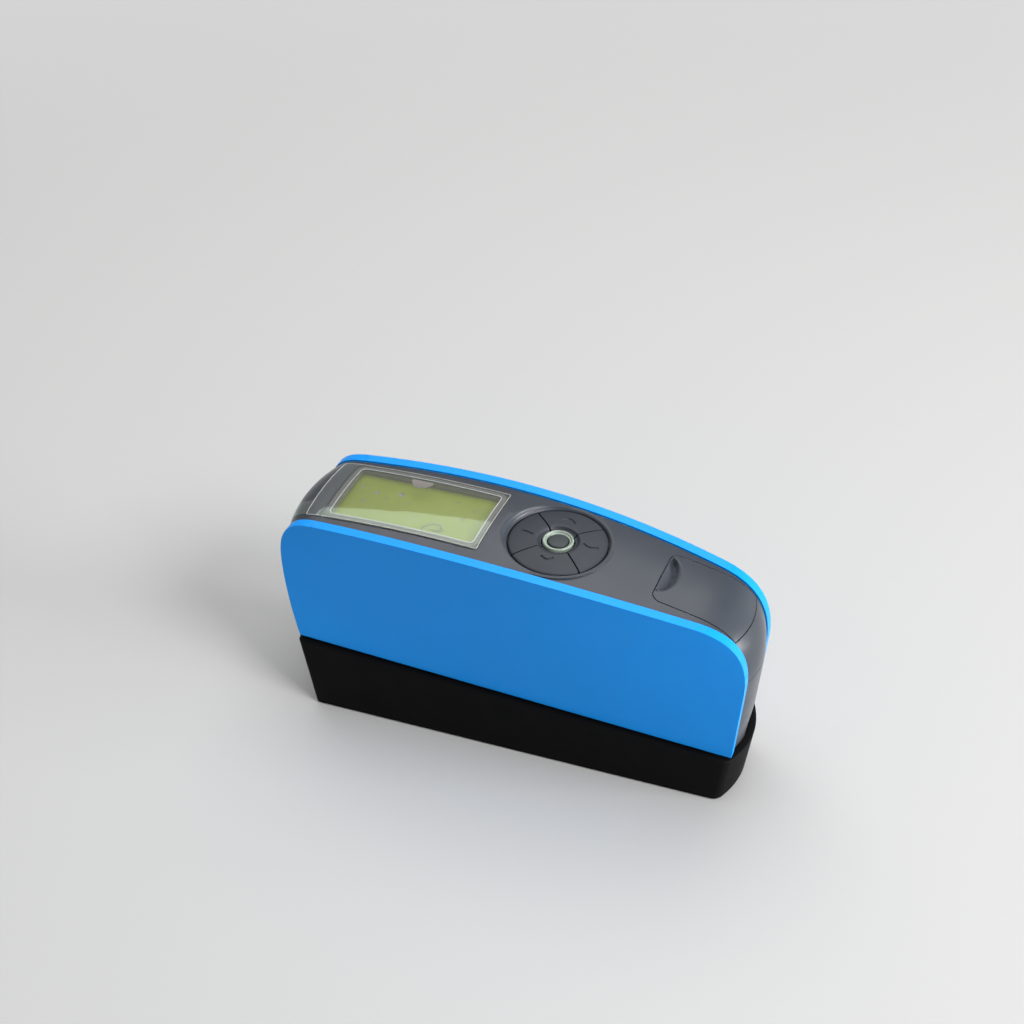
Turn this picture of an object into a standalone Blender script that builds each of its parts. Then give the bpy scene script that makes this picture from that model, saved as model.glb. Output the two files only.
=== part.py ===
"""Handheld gloss meter standing in its calibration tray, built as separate pieces.

Sizes are in millimetres and are scaled to metres where each mesh is made.
The meter's own frame has X along its length towards the battery door, Y across it
and Z up from the side panels' straight lower edge. The tray's rim slopes, so the
meter stands in it with the display end a little higher than the door end.
"""
import math

import bmesh
import bpy
from mathutils import Matrix, Vector
from mathutils.geometry import interpolate_bezier

MM = 0.001

# Clearances
SEAT_GAP = 0.3

# Standing height and lean of the meter in its tray
STAND_HEIGHT = 23.1
LEAN = math.radians(3.64)

# Side outline of the meter
FOOT_REAR_X = -71.1
FRONT_X = 71.3
BULGE_X = -78.4
BULGE_Z = 34.0
RIM_X = 8.0
RIM_Z = 52.2
RIM_RADIUS = 420.0
REAR_CORNER_X = -68.0
FRONT_CORNER_X = 53.0
FRONT_CORNER_Z = 27.0
REAR_SLANT = 0.24
FRONT_SLANT = 0.05

# Half width of the meter at its lower edge and at its rim
LOW_HALF = 17.6
LOW_TAPER = -0.0597
RIM_HALF = 16.7
RIM_BOW = 4.55
RIM_TAPER = -0.0361
BOW_LENGTH = 72.0

# Side panels
PANEL_WALL = 3.3
PANEL_ROUND = 0.9
RIM_STEP = 0.45

# Housing between the panels
HOUSING_WALL = 2.0
TOP_CROWN = 1.3
REAR_CROWN = 2.7
FRONT_CROWN = 2.0
PARTING_Z = 29.5
HOUSING_FLOOR_Z = -9.5
FOOT_TOP_Z = -0.45
MEASURING_SLOT = (26.0, 9.0)

# Calibration tray
TRAY_OVER = 1.6
TRAY_WALL = 2.2
TRAY_FLOOR = 2.5
TRAY_RIM_Z = -1.1
TRAY_REAR_BOW = 2.5
TRAY_FRONT_BOW = 3.9
TRAY_CORNER = 1.6
TRAY_BOTTOM_Z = 0.6
TILE = (38.0, 22.0, 3.0)
PLATE_Z = 1.6
PLATE_THICK = 2.0
TRAY_SCREWS = ((-42.0, 12.5), (42.0, 9.0))
TRAY_SCREW_LENGTH = 5.2
SCREW_HEAD = 2.5
SCREW_SHANK = 1.3
STRIP = (8.0, 22.0)
STRIP_X = (-57.0, 56.0)

# Display
DISPLAY_X = (-65.7, -17.9)
DISPLAY_HALF = 12.2
DISPLAY_FRAME = 0.9
WINDOW_THICK = 1.2
WINDOW_LEDGE = 1.1
FRAME_DEPTH = 3.3
GLASS_THICK = 2.0
BOARD_THICK = 1.6
FILM_X = (-72.2, -15.6)
FILM_HALF = 14.1
FILM_THICK = 0.15
TAB = (7.0, 6.0)

# Keypad
KEY_X = 5.2
KEY_Z = 51.8
KEY_RADIUS = 15.2
KEY_RING_GAP = 0.4
KEY_SPLIT = 0.45
KEY_INNER = 5.2
KEY_THICK = 2.2
KEY_CROWN = 0.9
DISH_DEPTH = 1.0
BOWL_RISE = 2.0
BOWL_FLARE = 2.4
RING_RADIUS = 4.8
RING_WIDTH = 1.35
RING_HEIGHT = 0.8
CAP_HEIGHT = 0.7
KEY_TRAVEL = 0.35
SHEET_THICK = 0.8
SHEET_RADIUS = 14.9

# Battery door and cell
DOOR_X = (38.3, 66.1)
DOOR_HALF = 10.9
DOOR_CORNER = 3.0
DOOR_NOSE_CORNER = 0.5
DOOR_BOW = 1.3
DOOR_THICK = 2.2
SCOOP_HALF = 7.4
SCOOP_REACH = 3.7
SCOOP_LIP = 1.8
SCOOP_LIP_DEPTH = 1.3
SCOOP_DEPTH = 2.4
SCOOP_EDGE = 0.8
CELL_RADIUS = 7.25
CELL_LENGTH = 50.5
CELL_FRONT_X = 60.3
CELL_Z = 37.7
SPRING_LENGTH = 1.9
SPRING_WIDE = 4.0
SPRING_NARROW = 1.5
SPRING_WIRE = 0.6
HOLDER_WALL = 1.6

# Optics at sixty degrees from the upright
BEAM_RISE = math.radians(30.0)
SPOT_DROP = 0.3
BEAM_BORE = 3.5
LENS_RADIUS = 4.7
LENS_THICK = 3.0
HOLDER_LENGTH = 13.4
ARM_REACH = 50.0
ARM_HALF = 6.5
BLOCK_HALF = 8.6
BLOCK_SCREWS = (38.0, 6.0)

METER = Matrix.Translation((0.0, 0.0, STAND_HEIGHT)) @ Matrix.Rotation(LEAN, 4, "Y")
WORLD = Matrix.Identity(4)
KEYS = Matrix.Translation(METER @ Vector((KEY_X, 0.0, KEY_Z)))

MATERIALS = {
    "blue_panel": ((0.012, 0.19, 0.62), 0.42, 0.0, 1.0),
    "cover": ((0.055, 0.057, 0.064), 0.5, 0.0, 1.0),
    "tray_black": ((0.009, 0.009, 0.011), 0.55, 0.0, 1.0),
    "key": ((0.05, 0.051, 0.056), 0.55, 0.0, 1.0),
    "ring": ((0.55, 0.62, 0.56), 0.35, 0.0, 1.0),
    "lcd_green": ((0.36, 0.46, 0.09), 0.2, 0.0, 1.0),
    "pale_frame": ((0.62, 0.6, 0.54), 0.5, 0.0, 1.0),
    "clear": ((0.85, 0.87, 0.88), 0.08, 0.0, 0.3),
    "rubber": ((0.02, 0.02, 0.021), 0.8, 0.0, 1.0),
    "board": ((0.02, 0.16, 0.06), 0.45, 0.0, 1.0),
    "black_glass": ((0.004, 0.004, 0.005), 0.03, 0.0, 1.0),
    "steel": ((0.5, 0.5, 0.52), 0.3, 1.0, 1.0),
    "lens_glass": ((0.8, 0.86, 0.88), 0.03, 0.0, 0.4),
    "cell": ((0.1, 0.11, 0.13), 0.3, 0.4, 1.0),
    "foam": ((0.07, 0.07, 0.075), 0.95, 0.0, 1.0),
    "anodised": ((0.015, 0.015, 0.016), 0.5, 0.4, 1.0),
}


def material(name):
    """The named Principled material, made the first time it is asked for."""
    found = bpy.data.materials.get(name)
    if found:
        return found
    colour, roughness, metallic, alpha = MATERIALS[name]
    made = bpy.data.materials.new(name)
    made.use_nodes = True
    shader = made.node_tree.nodes["Principled BSDF"]
    shader.inputs["Base Color"].default_value = (*colour, 1.0)
    shader.inputs["Roughness"].default_value = roughness
    shader.inputs["Metallic"].default_value = metallic
    shader.inputs["Alpha"].default_value = alpha
    made.diffuse_color = (*colour, alpha)
    return made


def solid(name, bm, look, frame=METER, pivot=None, smooth=True):
    """Turn a millimetre mesh in its frame into a named object in metres."""
    pivot = Vector(pivot) if pivot else Vector((0.0, 0.0, 0.0))
    bm.transform(Matrix.Scale(MM, 4) @ Matrix.Translation(-pivot) @ frame)
    bmesh.ops.recalc_face_normals(bm, faces=bm.faces)
    if bm.calc_volume(signed=True) < 0.0:
        bmesh.ops.reverse_faces(bm, faces=bm.faces)
    mesh = bpy.data.meshes.new(name)
    bm.to_mesh(mesh)
    bm.free()
    made = bpy.data.objects.new(name, mesh)
    made.location = pivot * MM
    bpy.context.scene.collection.objects.link(made)
    mesh.materials.append(material(look))
    if smooth:
        mesh.shade_smooth()
        mesh.set_sharp_from_angle(angle=math.radians(32.0))
    bpy.context.view_layer.update()
    return made


def combine(target, tool, operation):
    """Cut, join or intersect a target with a tool solid, which is used up."""
    step = target.modifiers.new("combine", "BOOLEAN")
    step.operation = operation
    step.solver = "EXACT"
    step.object = tool
    graph = bpy.context.evaluated_depsgraph_get()
    result = bpy.data.meshes.new_from_object(target.evaluated_get(graph))
    target.modifiers.remove(step)
    old = target.data
    target.data = result
    result.name = target.name
    bpy.data.meshes.remove(old)
    shape = tool.data
    bpy.data.objects.remove(tool, do_unlink=True)
    bpy.data.meshes.remove(shape)
    result.materials.clear()
    result.materials.append(bpy.data.materials[target["look"]])
    return target


def part(name, bm, look, frame=METER, pivot=None, smooth=True):
    """A solid that will be kept, remembering its material."""
    made = solid(name, bm, look, frame, pivot, smooth)
    made["look"] = look
    return made


def tool(bm, frame=METER):
    """A solid that only shapes others."""
    return part("tool", bm, "steel", frame, smooth=False)


def cut(target, bm, frame=METER):
    return combine(target, tool(bm, frame), "DIFFERENCE")


def join(target, bm, frame=METER):
    return combine(target, tool(bm, frame), "UNION")


def keep(target, bm, frame=METER):
    return combine(target, tool(bm, frame), "INTERSECT")


def skin_over(loops):
    """Skin equal closed loops one after another, with both ends left open."""
    bm = bmesh.new()
    rings = [[bm.verts.new(point) for point in loop] for loop in loops]
    for first, second in zip(rings, rings[1:]):
        for index in range(len(first)):
            follow = (index + 1) % len(first)
            bm.faces.new((first[index], first[follow], second[follow], second[index]))
    return bm, rings


def loft(loops):
    """Skin equal closed loops one after another and fill both ends."""
    bm, rings = skin_over(loops)
    caps = [bm.faces.new(rings[0]), bm.faces.new(rings[-1])]
    bmesh.ops.triangulate(bm, faces=caps)
    return bm


def box(low, high):
    """A block between two corners."""
    bm = bmesh.new()
    size = [b - a for a, b in zip(low, high)]
    middle = [(a + b) / 2 for a, b in zip(low, high)]
    place = Matrix.Translation(middle) @ Matrix.Diagonal((*size, 1.0))
    bmesh.ops.create_cube(bm, size=1.0, matrix=place)
    return bm


def rod(radius, low, high, centre=(0.0, 0.0), sides=24):
    """An upright cylinder."""
    bm = bmesh.new()
    place = Matrix.Translation((*centre, (low + high) / 2))
    bmesh.ops.create_cone(bm, cap_ends=True, segments=sides, radius1=radius,
                          radius2=radius, depth=high - low, matrix=place)
    return bm


def lathe(profile, sides=48, closed=False):
    """Spin a profile of radius and height round Z; a closed one leaves a bore."""
    bm = bmesh.new()
    verts = [bm.verts.new((radius, 0.0, height)) for radius, height in profile]
    pairs = list(zip(verts, verts[1:]))
    if closed:
        pairs.append((verts[-1], verts[0]))
    edges = [bm.edges.new(pair) for pair in pairs]
    bmesh.ops.spin(bm, geom=verts + edges, cent=(0, 0, 0), axis=(0, 0, 1),
                   angle=math.tau, steps=sides, use_merge=True)
    bmesh.ops.remove_doubles(bm, verts=bm.verts, dist=0.001)
    return bm


def soften(bm, width, segments=2, angle=40.0):
    """Round the edges of a mesh that turn by more than an angle."""
    limit = math.radians(angle)
    sharp = [edge for edge in bm.edges if edge.calc_face_angle(0.0) > limit]
    bmesh.ops.bevel(bm, geom=sharp, offset=width, segments=segments,
                    profile=0.5, affect="EDGES", clamp_overlap=True, material=-1)
    return bm


def rim_height(x):
    """Height of the panels' rim, an arc along most of the length."""
    return RIM_Z - RIM_RADIUS + math.sqrt(RIM_RADIUS ** 2 - (x - RIM_X) ** 2)


def half_width(x, z):
    """Half the meter's width over the panels, ruled from lower edge to rim."""
    low = LOW_HALF + LOW_TAPER * x
    rim = RIM_HALF + RIM_BOW * (1.0 - (x / BOW_LENGTH) ** 2) + RIM_TAPER * x
    share = min(max(z / RIM_Z, 0.0), 1.0)
    return low + (rim - low) * share


def curve(points, steps):
    """Points along one Bezier span, without its last point."""
    ends = [Vector((x, z)) for x, z in points]
    return interpolate_bezier(*ends, steps + 1)[:-1]


def between(first, last, spans):
    """Evenly spaced points from the first towards the last, which is left out."""
    return [first.lerp(last, step / spans) for step in range(spans)]


def side_outline(floor=0.0, turns=6, tops=12, noses=10):
    """The meter's side outline: over the top from its rearmost point, back underneath.

    Both ways have the same number of points, which lie above one another, so the
    sides can be closed by upright strips that keep to the ruled width.
    """
    rear = Vector((BULGE_X, BULGE_Z))
    foot = Vector((FOOT_REAR_X, 0.0))
    corner = Vector((REAR_CORNER_X, rim_height(REAR_CORNER_X)))
    nose = Vector((FRONT_X, FRONT_CORNER_Z))
    shoulder = Vector((FRONT_CORNER_X, rim_height(FRONT_CORNER_X)))
    back, up = corner - rear
    top = curve((rear, (BULGE_X + 0.01 * back, BULGE_Z + 0.575 * up),
                 (corner.x - 0.67 * back, corner.y - 0.115 * up), corner), turns)
    for step in range(tops):
        x = corner.x + (shoulder.x - corner.x) * step / tops
        top.append(Vector((x, rim_height(x))))
    run, drop = nose.x - shoulder.x, shoulder.y - nose.y
    top += curve((shoulder, (shoulder.x + 0.71 * run, shoulder.y - 0.061 * drop),
                  (FRONT_X, nose.y + 0.614 * drop), nose), noses)
    heel = (rear, (BULGE_X, BULGE_Z * 0.76),
            (FOOT_REAR_X + 0.466 * (BULGE_X - FOOT_REAR_X), BULGE_Z * 0.31), foot)
    low_rear, low_front = foot, Vector((FRONT_X, 0.0))
    front_spans = noses - 4
    under = curve(heel, turns)
    rise = between(low_front, nose, front_spans)
    if floor < 0.0:
        low_rear = Vector((FOOT_REAR_X - floor * REAR_SLANT, floor))
        low_front = Vector((FRONT_X + floor * FRONT_SLANT, floor))
        under = curve(heel, turns - 1) + [foot]
        rise = [low_front] + between(Vector((FRONT_X, 0.0)), nose, front_spans - 1)
    knee = Vector((FRONT_CORNER_X, floor))
    under += between(low_rear, knee, tops) + between(knee, low_front, 4) + rise
    return top + [nose] + list(reversed(under[1:]))


def normals(outline):
    """Outward mitre vectors of a clockwise closed outline."""
    found = []
    for index, point in enumerate(outline):
        before = (point - outline[index - 1]).normalized()
        after = (outline[(index + 1) % len(outline)] - point).normalized()
        first = Vector((-before.y, before.x))
        second = Vector((-after.y, after.x))
        middle = (first + second).normalized()
        found.append(middle / max(middle.dot(first), 0.4))
    return found


def shrink(outline, inset):
    """An outline moved inwards by the same distance everywhere."""
    return [point - way * inset for point, way in zip(outline, normals(outline))]


def close_side(bm, ring, rows=None):
    """Close one side of an outline with upright strips, in steps where a place is given."""
    half = len(ring) // 2
    for index in range(half):
        top = (ring[index], ring[index + 1])
        low = (ring[-index] if index else ring[0], ring[-index - 1])
        column = [[top[0], low[0]], [top[1], low[1]]]
        if rows:
            column = [rows(pair[0], pair[1]) for pair in column]
        for step in range(len(column[0]) - 1):
            a, b = column[0][step], column[1][step]
            c, d = column[1][step + 1], column[0][step + 1]
            for corners in ((a, b, c), (a, c, d)):
                if len(set(corners)) == 3:
                    bm.faces.new(corners)


def midway(bm):
    """Adds points half way down each strip, at the ruled width, once for each strip."""
    made = {}

    def rows(top, low):
        if top is low:
            return [top, top, low]
        key = (top, low)
        if key not in made:
            x = (top.co.x + low.co.x) / 2
            z = (top.co.z + low.co.z) / 2
            sign = math.copysign(1.0, top.co.y)
            made[key] = bm.verts.new((x, sign * half_width(x, z), z))
        return [top, made[key], low]

    return rows


def crown_at(way, z):
    """How far the housing swells out in its middle, by the way its skin faces."""
    if way.y < -0.5:
        return 0.0
    end = REAR_CROWN
    if way.x > 0.0:
        end = FRONT_CROWN * min(max(0.6 + 0.04 * z, 0.6), 1.0)
    facing = min(abs(way.x), 1.0)
    return TOP_CROWN + (end - TOP_CROWN) * facing ** 2


def core(inset, floor, steps=8):
    """The body between the panels: a side outline carried across with a crown."""
    drawn_in = RIM_STEP + inset
    outline = shrink(side_outline(floor - drawn_in), drawn_in)
    ways = [way.normalized() for way in normals(outline)]
    loops = []
    side = PANEL_WALL + SEAT_GAP + inset
    for step in range(steps + 1):
        across = -1.0 + 2.0 * step / steps
        loop = []
        for point, way in zip(outline, ways):
            lift = crown_at(way, point.y) * (1.0 - across ** 2)
            place = point + way * lift
            loop.append((place.x, across * (half_width(point.x, point.y) - side), place.y))
        loops.append(loop)
    bm, rings = skin_over(loops)
    close_side(bm, rings[0])
    close_side(bm, rings[-1])
    return bm


class Skin:
    """Places on the housing's outer skin, by distance along the outline and across."""

    def __init__(self):
        outline = shrink(side_outline(), RIM_STEP)
        last = len(outline) // 2
        self.points = outline[:last + 1]
        self.ways = [way.normalized() for way in normals(outline)][:last + 1]
        self.runs = [0.0]
        for before, after in zip(self.points, self.points[1:]):
            self.runs.append(self.runs[-1] + (after - before).length)

    def run_at(self, x):
        """Distance along the outline where the skin's edge has this X."""
        for index in range(len(self.points) - 1):
            low, high = self.points[index].x, self.points[index + 1].x
            if low <= x <= high and high > low:
                share = (x - low) / (high - low)
                return self.runs[index] + share * (self.runs[index + 1] - self.runs[index])
        return self.runs[-1]

    def place(self, run, y, depth):
        """A point at a depth under the skin."""
        index = 0
        while index < len(self.runs) - 2 and self.runs[index + 1] < run:
            index += 1
        span = self.runs[index + 1] - self.runs[index]
        share = (run - self.runs[index]) / span
        point = self.points[index].lerp(self.points[index + 1], share)
        way = self.ways[index].lerp(self.ways[index + 1], share).normalized()
        half = half_width(point.x, point.y) - PANEL_WALL - SEAT_GAP
        lift = crown_at(way, point.y) * (1.0 - min((y / half) ** 2, 1.0))
        spot = point + way * (lift - depth)
        return (spot.x, y, spot.y)


SKIN = Skin()


def turned(corner):
    """How far each step round a corner lies from the end, and from the side."""
    turns = 3 if corner else 0
    steps = []
    for step in range(turns):
        angle = math.pi / 2 * step / turns
        steps.append((corner * (1.0 - math.cos(angle)), corner * (1.0 - math.sin(angle))))
    return steps


def patch(start, end, half, outer, inner, corner=0.0, nose=None, bow=0.0, spans=8, across=6,
          y=0.0):
    """A piece of skin between two runs and two depths, with round corners and a bowed end."""
    nose = corner if nose is None else nose
    places = [(start + reach, half - loss) for reach, loss in turned(corner)]
    first, last = start + corner, end - nose
    for step in range(spans + 1):
        places.append((first + (last - first) * step / spans, half))
    places += [(end - reach, half - loss) for reach, loss in reversed(turned(nose))]
    middle = (start + end) / 2

    def spot(run, side, depth):
        share = max((run - middle) / (end - middle), 0.0)
        push = bow * share ** 2 * (1.0 - (side / half) ** 2)
        return SKIN.place(run + push, y + side, depth)

    loops = []
    for run, width in places:
        sides = [width * (-1.0 + 2.0 * step / across) for step in range(across + 1)]
        loop = [spot(run, side, outer) for side in sides]
        loop += [spot(run, side, inner) for side in reversed(sides)]
        loops.append(loop)
    return loft(loops)


def display_patch(margin, corner, outer, inner):
    start = SKIN.run_at(DISPLAY_X[0]) - margin
    end = SKIN.run_at(DISPLAY_X[1]) + margin
    return patch(start, end, DISPLAY_HALF + margin, outer, inner, corner)


def display_frame_matrix():
    """Frame of the flat display, touching the skin's arc at its middle."""
    run = (SKIN.run_at(DISPLAY_X[0]) + SKIN.run_at(DISPLAY_X[1])) / 2
    centre = Vector(SKIN.place(run, 0.0, 0.0))
    ahead = Vector(SKIN.place(run + 1.0, 0.0, 0.0)) - centre
    pitch = -math.atan2(ahead.z, ahead.x)
    return METER @ Matrix.Translation(centre) @ Matrix.Rotation(pitch, 4, "Y")


DISPLAY = display_frame_matrix()


def door_patch(margin, outer, inner):
    start = SKIN.run_at(DOOR_X[0]) - margin
    end = SKIN.run_at(DOOR_X[1]) - DOOR_BOW + margin
    return patch(start, end, DOOR_HALF + margin, outer, inner, DOOR_CORNER + margin,
                 DOOR_NOSE_CORNER + margin, DOOR_BOW, spans=10)


def tray_loop(z, inset, spans=8):
    """The tray's outline in plan at one height, bowed at both ends."""
    rear = FOOT_REAR_X - (z - TRAY_RIM_Z) * REAR_SLANT + inset
    front = FRONT_X - 0.6 + (z - TRAY_RIM_Z) * FRONT_SLANT - inset

    def half(x):
        return LOW_HALF + LOW_TAPER * x + TRAY_OVER - inset

    loop = []
    for end, bow, sign in ((rear, -TRAY_REAR_BOW, 1.0), (front, TRAY_FRONT_BOW, -1.0)):
        corner = TRAY_CORNER / half(end)
        for step in range(spans + 1):
            across = -1.0 + 2.0 * step / spans
            across = sign * across * (1.0 - corner * 0.35)
            x = end + bow * (1.0 - across ** 2)
            loop.append((x, across * half(end), z))
        edge = end + (TRAY_CORNER if bow < 0.0 else -TRAY_CORNER)
        loop.append((edge, sign * half(edge), z))
        other = front if end == rear else rear
        turn = other + (-TRAY_CORNER if bow < 0.0 else TRAY_CORNER)
        for step in range(1, 7):
            x = edge + (turn - edge) * step / 6
            loop.append((x, sign * half(x), z))
    return loop


def tray_solid(low, high, inset, chamfer=0.0):
    """The tray's plan outline carried between two heights."""
    loops = [tray_loop(low, inset)]
    if chamfer:
        loops.append(tray_loop(high - chamfer, inset))
    loops.append(tray_loop(high, inset + chamfer))
    return loft(loops)


def floor_underside(x):
    """World height of the tray floor's underside at a world X."""
    depth = HOUSING_FLOOR_Z - SEAT_GAP - TRAY_FLOOR
    return STAND_HEIGHT + depth / math.cos(LEAN) - x * math.tan(LEAN)


REACH = 120.0


def make_tray():
    floor_top = HOUSING_FLOOR_Z - SEAT_GAP
    tray = part("base_tray", tray_solid(-REACH, TRAY_RIM_Z, 0.0, 0.4), "tray_black")
    cut(tray, tray_solid(floor_top, 5.0, TRAY_WALL))
    cut(tray, tray_solid(-REACH, floor_top - TRAY_FLOOR, TRAY_WALL))
    half_x = TILE[0] / 2 + SEAT_GAP
    half_y = TILE[1] / 2 + SEAT_GAP
    cut(tray, box((-half_x, -half_y, floor_top - 6.0), (half_x, half_y, floor_top + 2.0)))
    plate_top = PLATE_Z + PLATE_THICK
    for x, y in tray_screw_places():
        top = floor_underside(x) + 1.0
        tip = PLATE_Z - SEAT_GAP + TRAY_SCREW_LENGTH
        join(tray, rod(3.2, plate_top + SEAT_GAP, top, (x, y), 14), WORLD)
        cut(tray, rod(SCREW_SHANK + SEAT_GAP, plate_top, tip + SEAT_GAP, (x, y), 12), WORLD)
    cut(tray, box((-REACH, -REACH, -REACH), (REACH, REACH, TRAY_BOTTOM_Z)), WORLD)
    return tray


def tray_screw_places():
    return [(x, sign * y) for x, y in TRAY_SCREWS for sign in (-1.0, 1.0)]


def make_base_plate():
    under_floor = HOUSING_FLOOR_Z - TRAY_FLOOR - 2 * SEAT_GAP
    plate = part("base_plate", tray_solid(-REACH, under_floor, TRAY_WALL + SEAT_GAP), "tray_black")
    top = PLATE_Z + PLATE_THICK
    keep(plate, box((-REACH, -REACH, PLATE_Z), (REACH, REACH, top)), WORLD)
    for x, y in tray_screw_places():
        cut(plate, rod(SCREW_SHANK + SEAT_GAP, PLATE_Z - 1.0, top + 1.0, (x, y), 12), WORLD)
    return plate


def make_tray_screws():
    for number, (x, y) in enumerate(tray_screw_places(), 1):
        head_top = PLATE_Z - SEAT_GAP
        tip = head_top + TRAY_SCREW_LENGTH
        profile = ((0.0, head_top - 1.0), (SCREW_HEAD - 0.3, head_top - 1.0),
                   (SCREW_HEAD, head_top - 0.7), (SCREW_HEAD, head_top),
                   (SCREW_SHANK, head_top), (SCREW_SHANK, tip - 0.6), (0.0, tip))
        bm = lathe(profile, 12)
        part(f"tray_screw_{number}", bm, "steel", Matrix.Translation((x, y, 0.0)))


def make_rubber_strips():
    for name, x in zip(("foot_strip_rear", "foot_strip_front"), STRIP_X):
        half_x = STRIP[0] / 2
        half_y = STRIP[1] / 2
        bm = box((x - half_x, -half_y, 0.0), (x + half_x, half_y, PLATE_Z - SEAT_GAP))
        upright = [edge for edge in bm.edges
                   if abs(edge.verts[0].co.z - edge.verts[1].co.z) > 0.5]
        bmesh.ops.bevel(bm, geom=upright, offset=2.0, segments=4, profile=0.5,
                        affect="EDGES", material=-1)
        part(name, bm, "rubber", WORLD)


def make_tile():
    top = HOUSING_FLOOR_Z - SEAT_GAP - 0.1
    half_x = TILE[0] / 2
    half_y = TILE[1] / 2
    bm = box((-half_x, -half_y, top - TILE[2]), (half_x, half_y, top))
    part("calibration_tile", soften(bm, 0.3, 1), "black_glass")
    pad_top = top - TILE[2] - SEAT_GAP
    pad = part("tile_pad", box((-half_x + 2.0, -half_y + 2.0, -REACH),
                               (half_x - 2.0, half_y - 2.0, pad_top)), "foam")
    under = PLATE_Z + PLATE_THICK + SEAT_GAP
    cut(pad, box((-REACH, -REACH, -REACH), (REACH, REACH, under)), WORLD)


def make_side_panels():
    outline = side_outline()
    for name, sign in (("side_panel_near", -1.0), ("side_panel_far", 1.0)):
        loops = []

        def ring(points, lift):
            loops.append([(p.x, sign * (half_width(p.x, p.y) - lift), p.y) for p in points])

        ring(outline, PANEL_WALL)
        turns = 3
        for step in range(turns + 1):
            angle = math.pi / 2 * step / turns
            inset = PANEL_ROUND * (1.0 - math.cos(angle))
            ring(shrink(outline, inset), PANEL_ROUND * (1.0 - math.sin(angle)))
        bm, rings = skin_over(loops)
        close_side(bm, rings[0])
        close_side(bm, rings[-1], midway(bm))
        part(name, bm, "blue_panel")


def make_lower_housing():
    housing = part("lower_housing", core(0.0, TRAY_RIM_Z + SEAT_GAP), "cover")
    cut(housing, box((-REACH, -REACH, PARTING_Z - SEAT_GAP / 2), (REACH, REACH, REACH)))
    foot = TRAY_WALL + SEAT_GAP
    join(housing, tray_solid(HOUSING_FLOOR_Z, FOOT_TOP_Z, foot))
    cut(housing, core(HOUSING_WALL, FOOT_TOP_Z - HOUSING_WALL - 1.0, steps=4))
    floor = HOUSING_FLOOR_Z + HOUSING_WALL
    cut(housing, tray_solid(floor, FOOT_TOP_Z - HOUSING_WALL, foot + HOUSING_WALL))
    half_x = MEASURING_SLOT[0] / 2
    half_y = MEASURING_SLOT[1] / 2
    slot = box((-half_x, -half_y, floor - 6.0), (half_x, half_y, floor + 1.0))
    cut(housing, slot)
    for x, y in block_screw_places():
        cut(housing, rod(1.5, floor - 6.0, floor + 1.0, (x, y), 12))
        cut(housing, rod(2.7, floor - 6.0, floor - 0.9, (x, y), 12))
    return housing


def bowl_profile():
    """Wall of the round recess that the keypad sits in, with a soft step half way."""
    hole = KEY_RADIUS + KEY_RING_GAP
    steps = ((0.0, -0.2), (0.07, -0.03), (0.2, 0.05), (0.3, 0.33), (0.42, 0.42), (0.54, 0.67),
             (0.73, 0.87), (1.0, 1.0), (1.4, 1.06))
    wall = [(hole + BOWL_FLARE * out, BOWL_RISE * up) for out, up in steps]
    return [(0.0, -12.0), (hole, -12.0), *wall, (wall[-1][0], 8.0), (0.0, 8.0)]


def make_top_cover():
    cover = part("top_cover", core(0.0, 0.0), "cover")
    cut(cover, core(HOUSING_WALL, HOUSING_WALL, steps=4))
    join(cover, rod(KEY_RADIUS + 1.9, -KEY_THICK - 1.0, 0.2, sides=48), KEYS)
    cut(cover, box((-REACH, -REACH, -REACH), (REACH, REACH, PARTING_Z + SEAT_GAP / 2)))
    cut(cover, lathe(bowl_profile(), 56), KEYS)
    margin = DISPLAY_FRAME + SEAT_GAP
    rebate = WINDOW_THICK + SEAT_GAP / 2
    cut(cover, display_patch(margin + WINDOW_LEDGE, 1.6, -2.0, rebate))
    cut(cover, display_patch(margin, 0.0, -2.0, 6.0))
    cut(cover, door_patch(SEAT_GAP, -2.0, DOOR_THICK + 1.6))
    return cover


def make_display():
    under = WINDOW_THICK - SEAT_GAP / 2
    part("display_window", display_patch(DISPLAY_FRAME + WINDOW_LEDGE, 1.3, 0.0, under),
         "clear")
    frame = part("display_frame", display_patch(DISPLAY_FRAME, 0.0, under + SEAT_GAP, 8.0),
                 "pale_frame")
    cut(frame, display_patch(0.0, 0.0, -1.0, 12.0))
    cut(frame, box((-REACH, -REACH, -REACH), (REACH, REACH, -FRAME_DEPTH)), DISPLAY)
    length = DISPLAY_X[1] - DISPLAY_X[0]
    half_x = length / 2 + DISPLAY_FRAME
    half_y = DISPLAY_HALF + DISPLAY_FRAME
    glass_top = -FRAME_DEPTH - SEAT_GAP
    glass_low = glass_top - GLASS_THICK
    glass = box((-half_x, -half_y, glass_low), (half_x, half_y, glass_top))
    part("lcd_glass", soften(glass, 0.25, 1), "lcd_green", DISPLAY)
    board_top = glass_low - SEAT_GAP
    board = box((-half_x, -half_y + 0.4, board_top - BOARD_THICK),
                (half_x + 1.5, half_y - 0.4, board_top))
    part("main_board", board, "board", DISPLAY)


def make_display_film():
    """Clear film stuck over the window, with a pull tab at its near rear corner."""
    start = SKIN.run_at(FILM_X[0])
    end = SKIN.run_at(FILM_X[1])
    outer = -SEAT_GAP - FILM_THICK
    film = part("display_film",
                patch(start, end, FILM_HALF, outer, -SEAT_GAP, spans=12), "clear")
    tab = patch(start - TAB[0], start + 1.0, TAB[1] / 2, outer, -SEAT_GAP, 0.9,
                spans=4, across=2, y=TAB[1] / 2 + 0.3 - FILM_HALF)
    join(film, tab)


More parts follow.
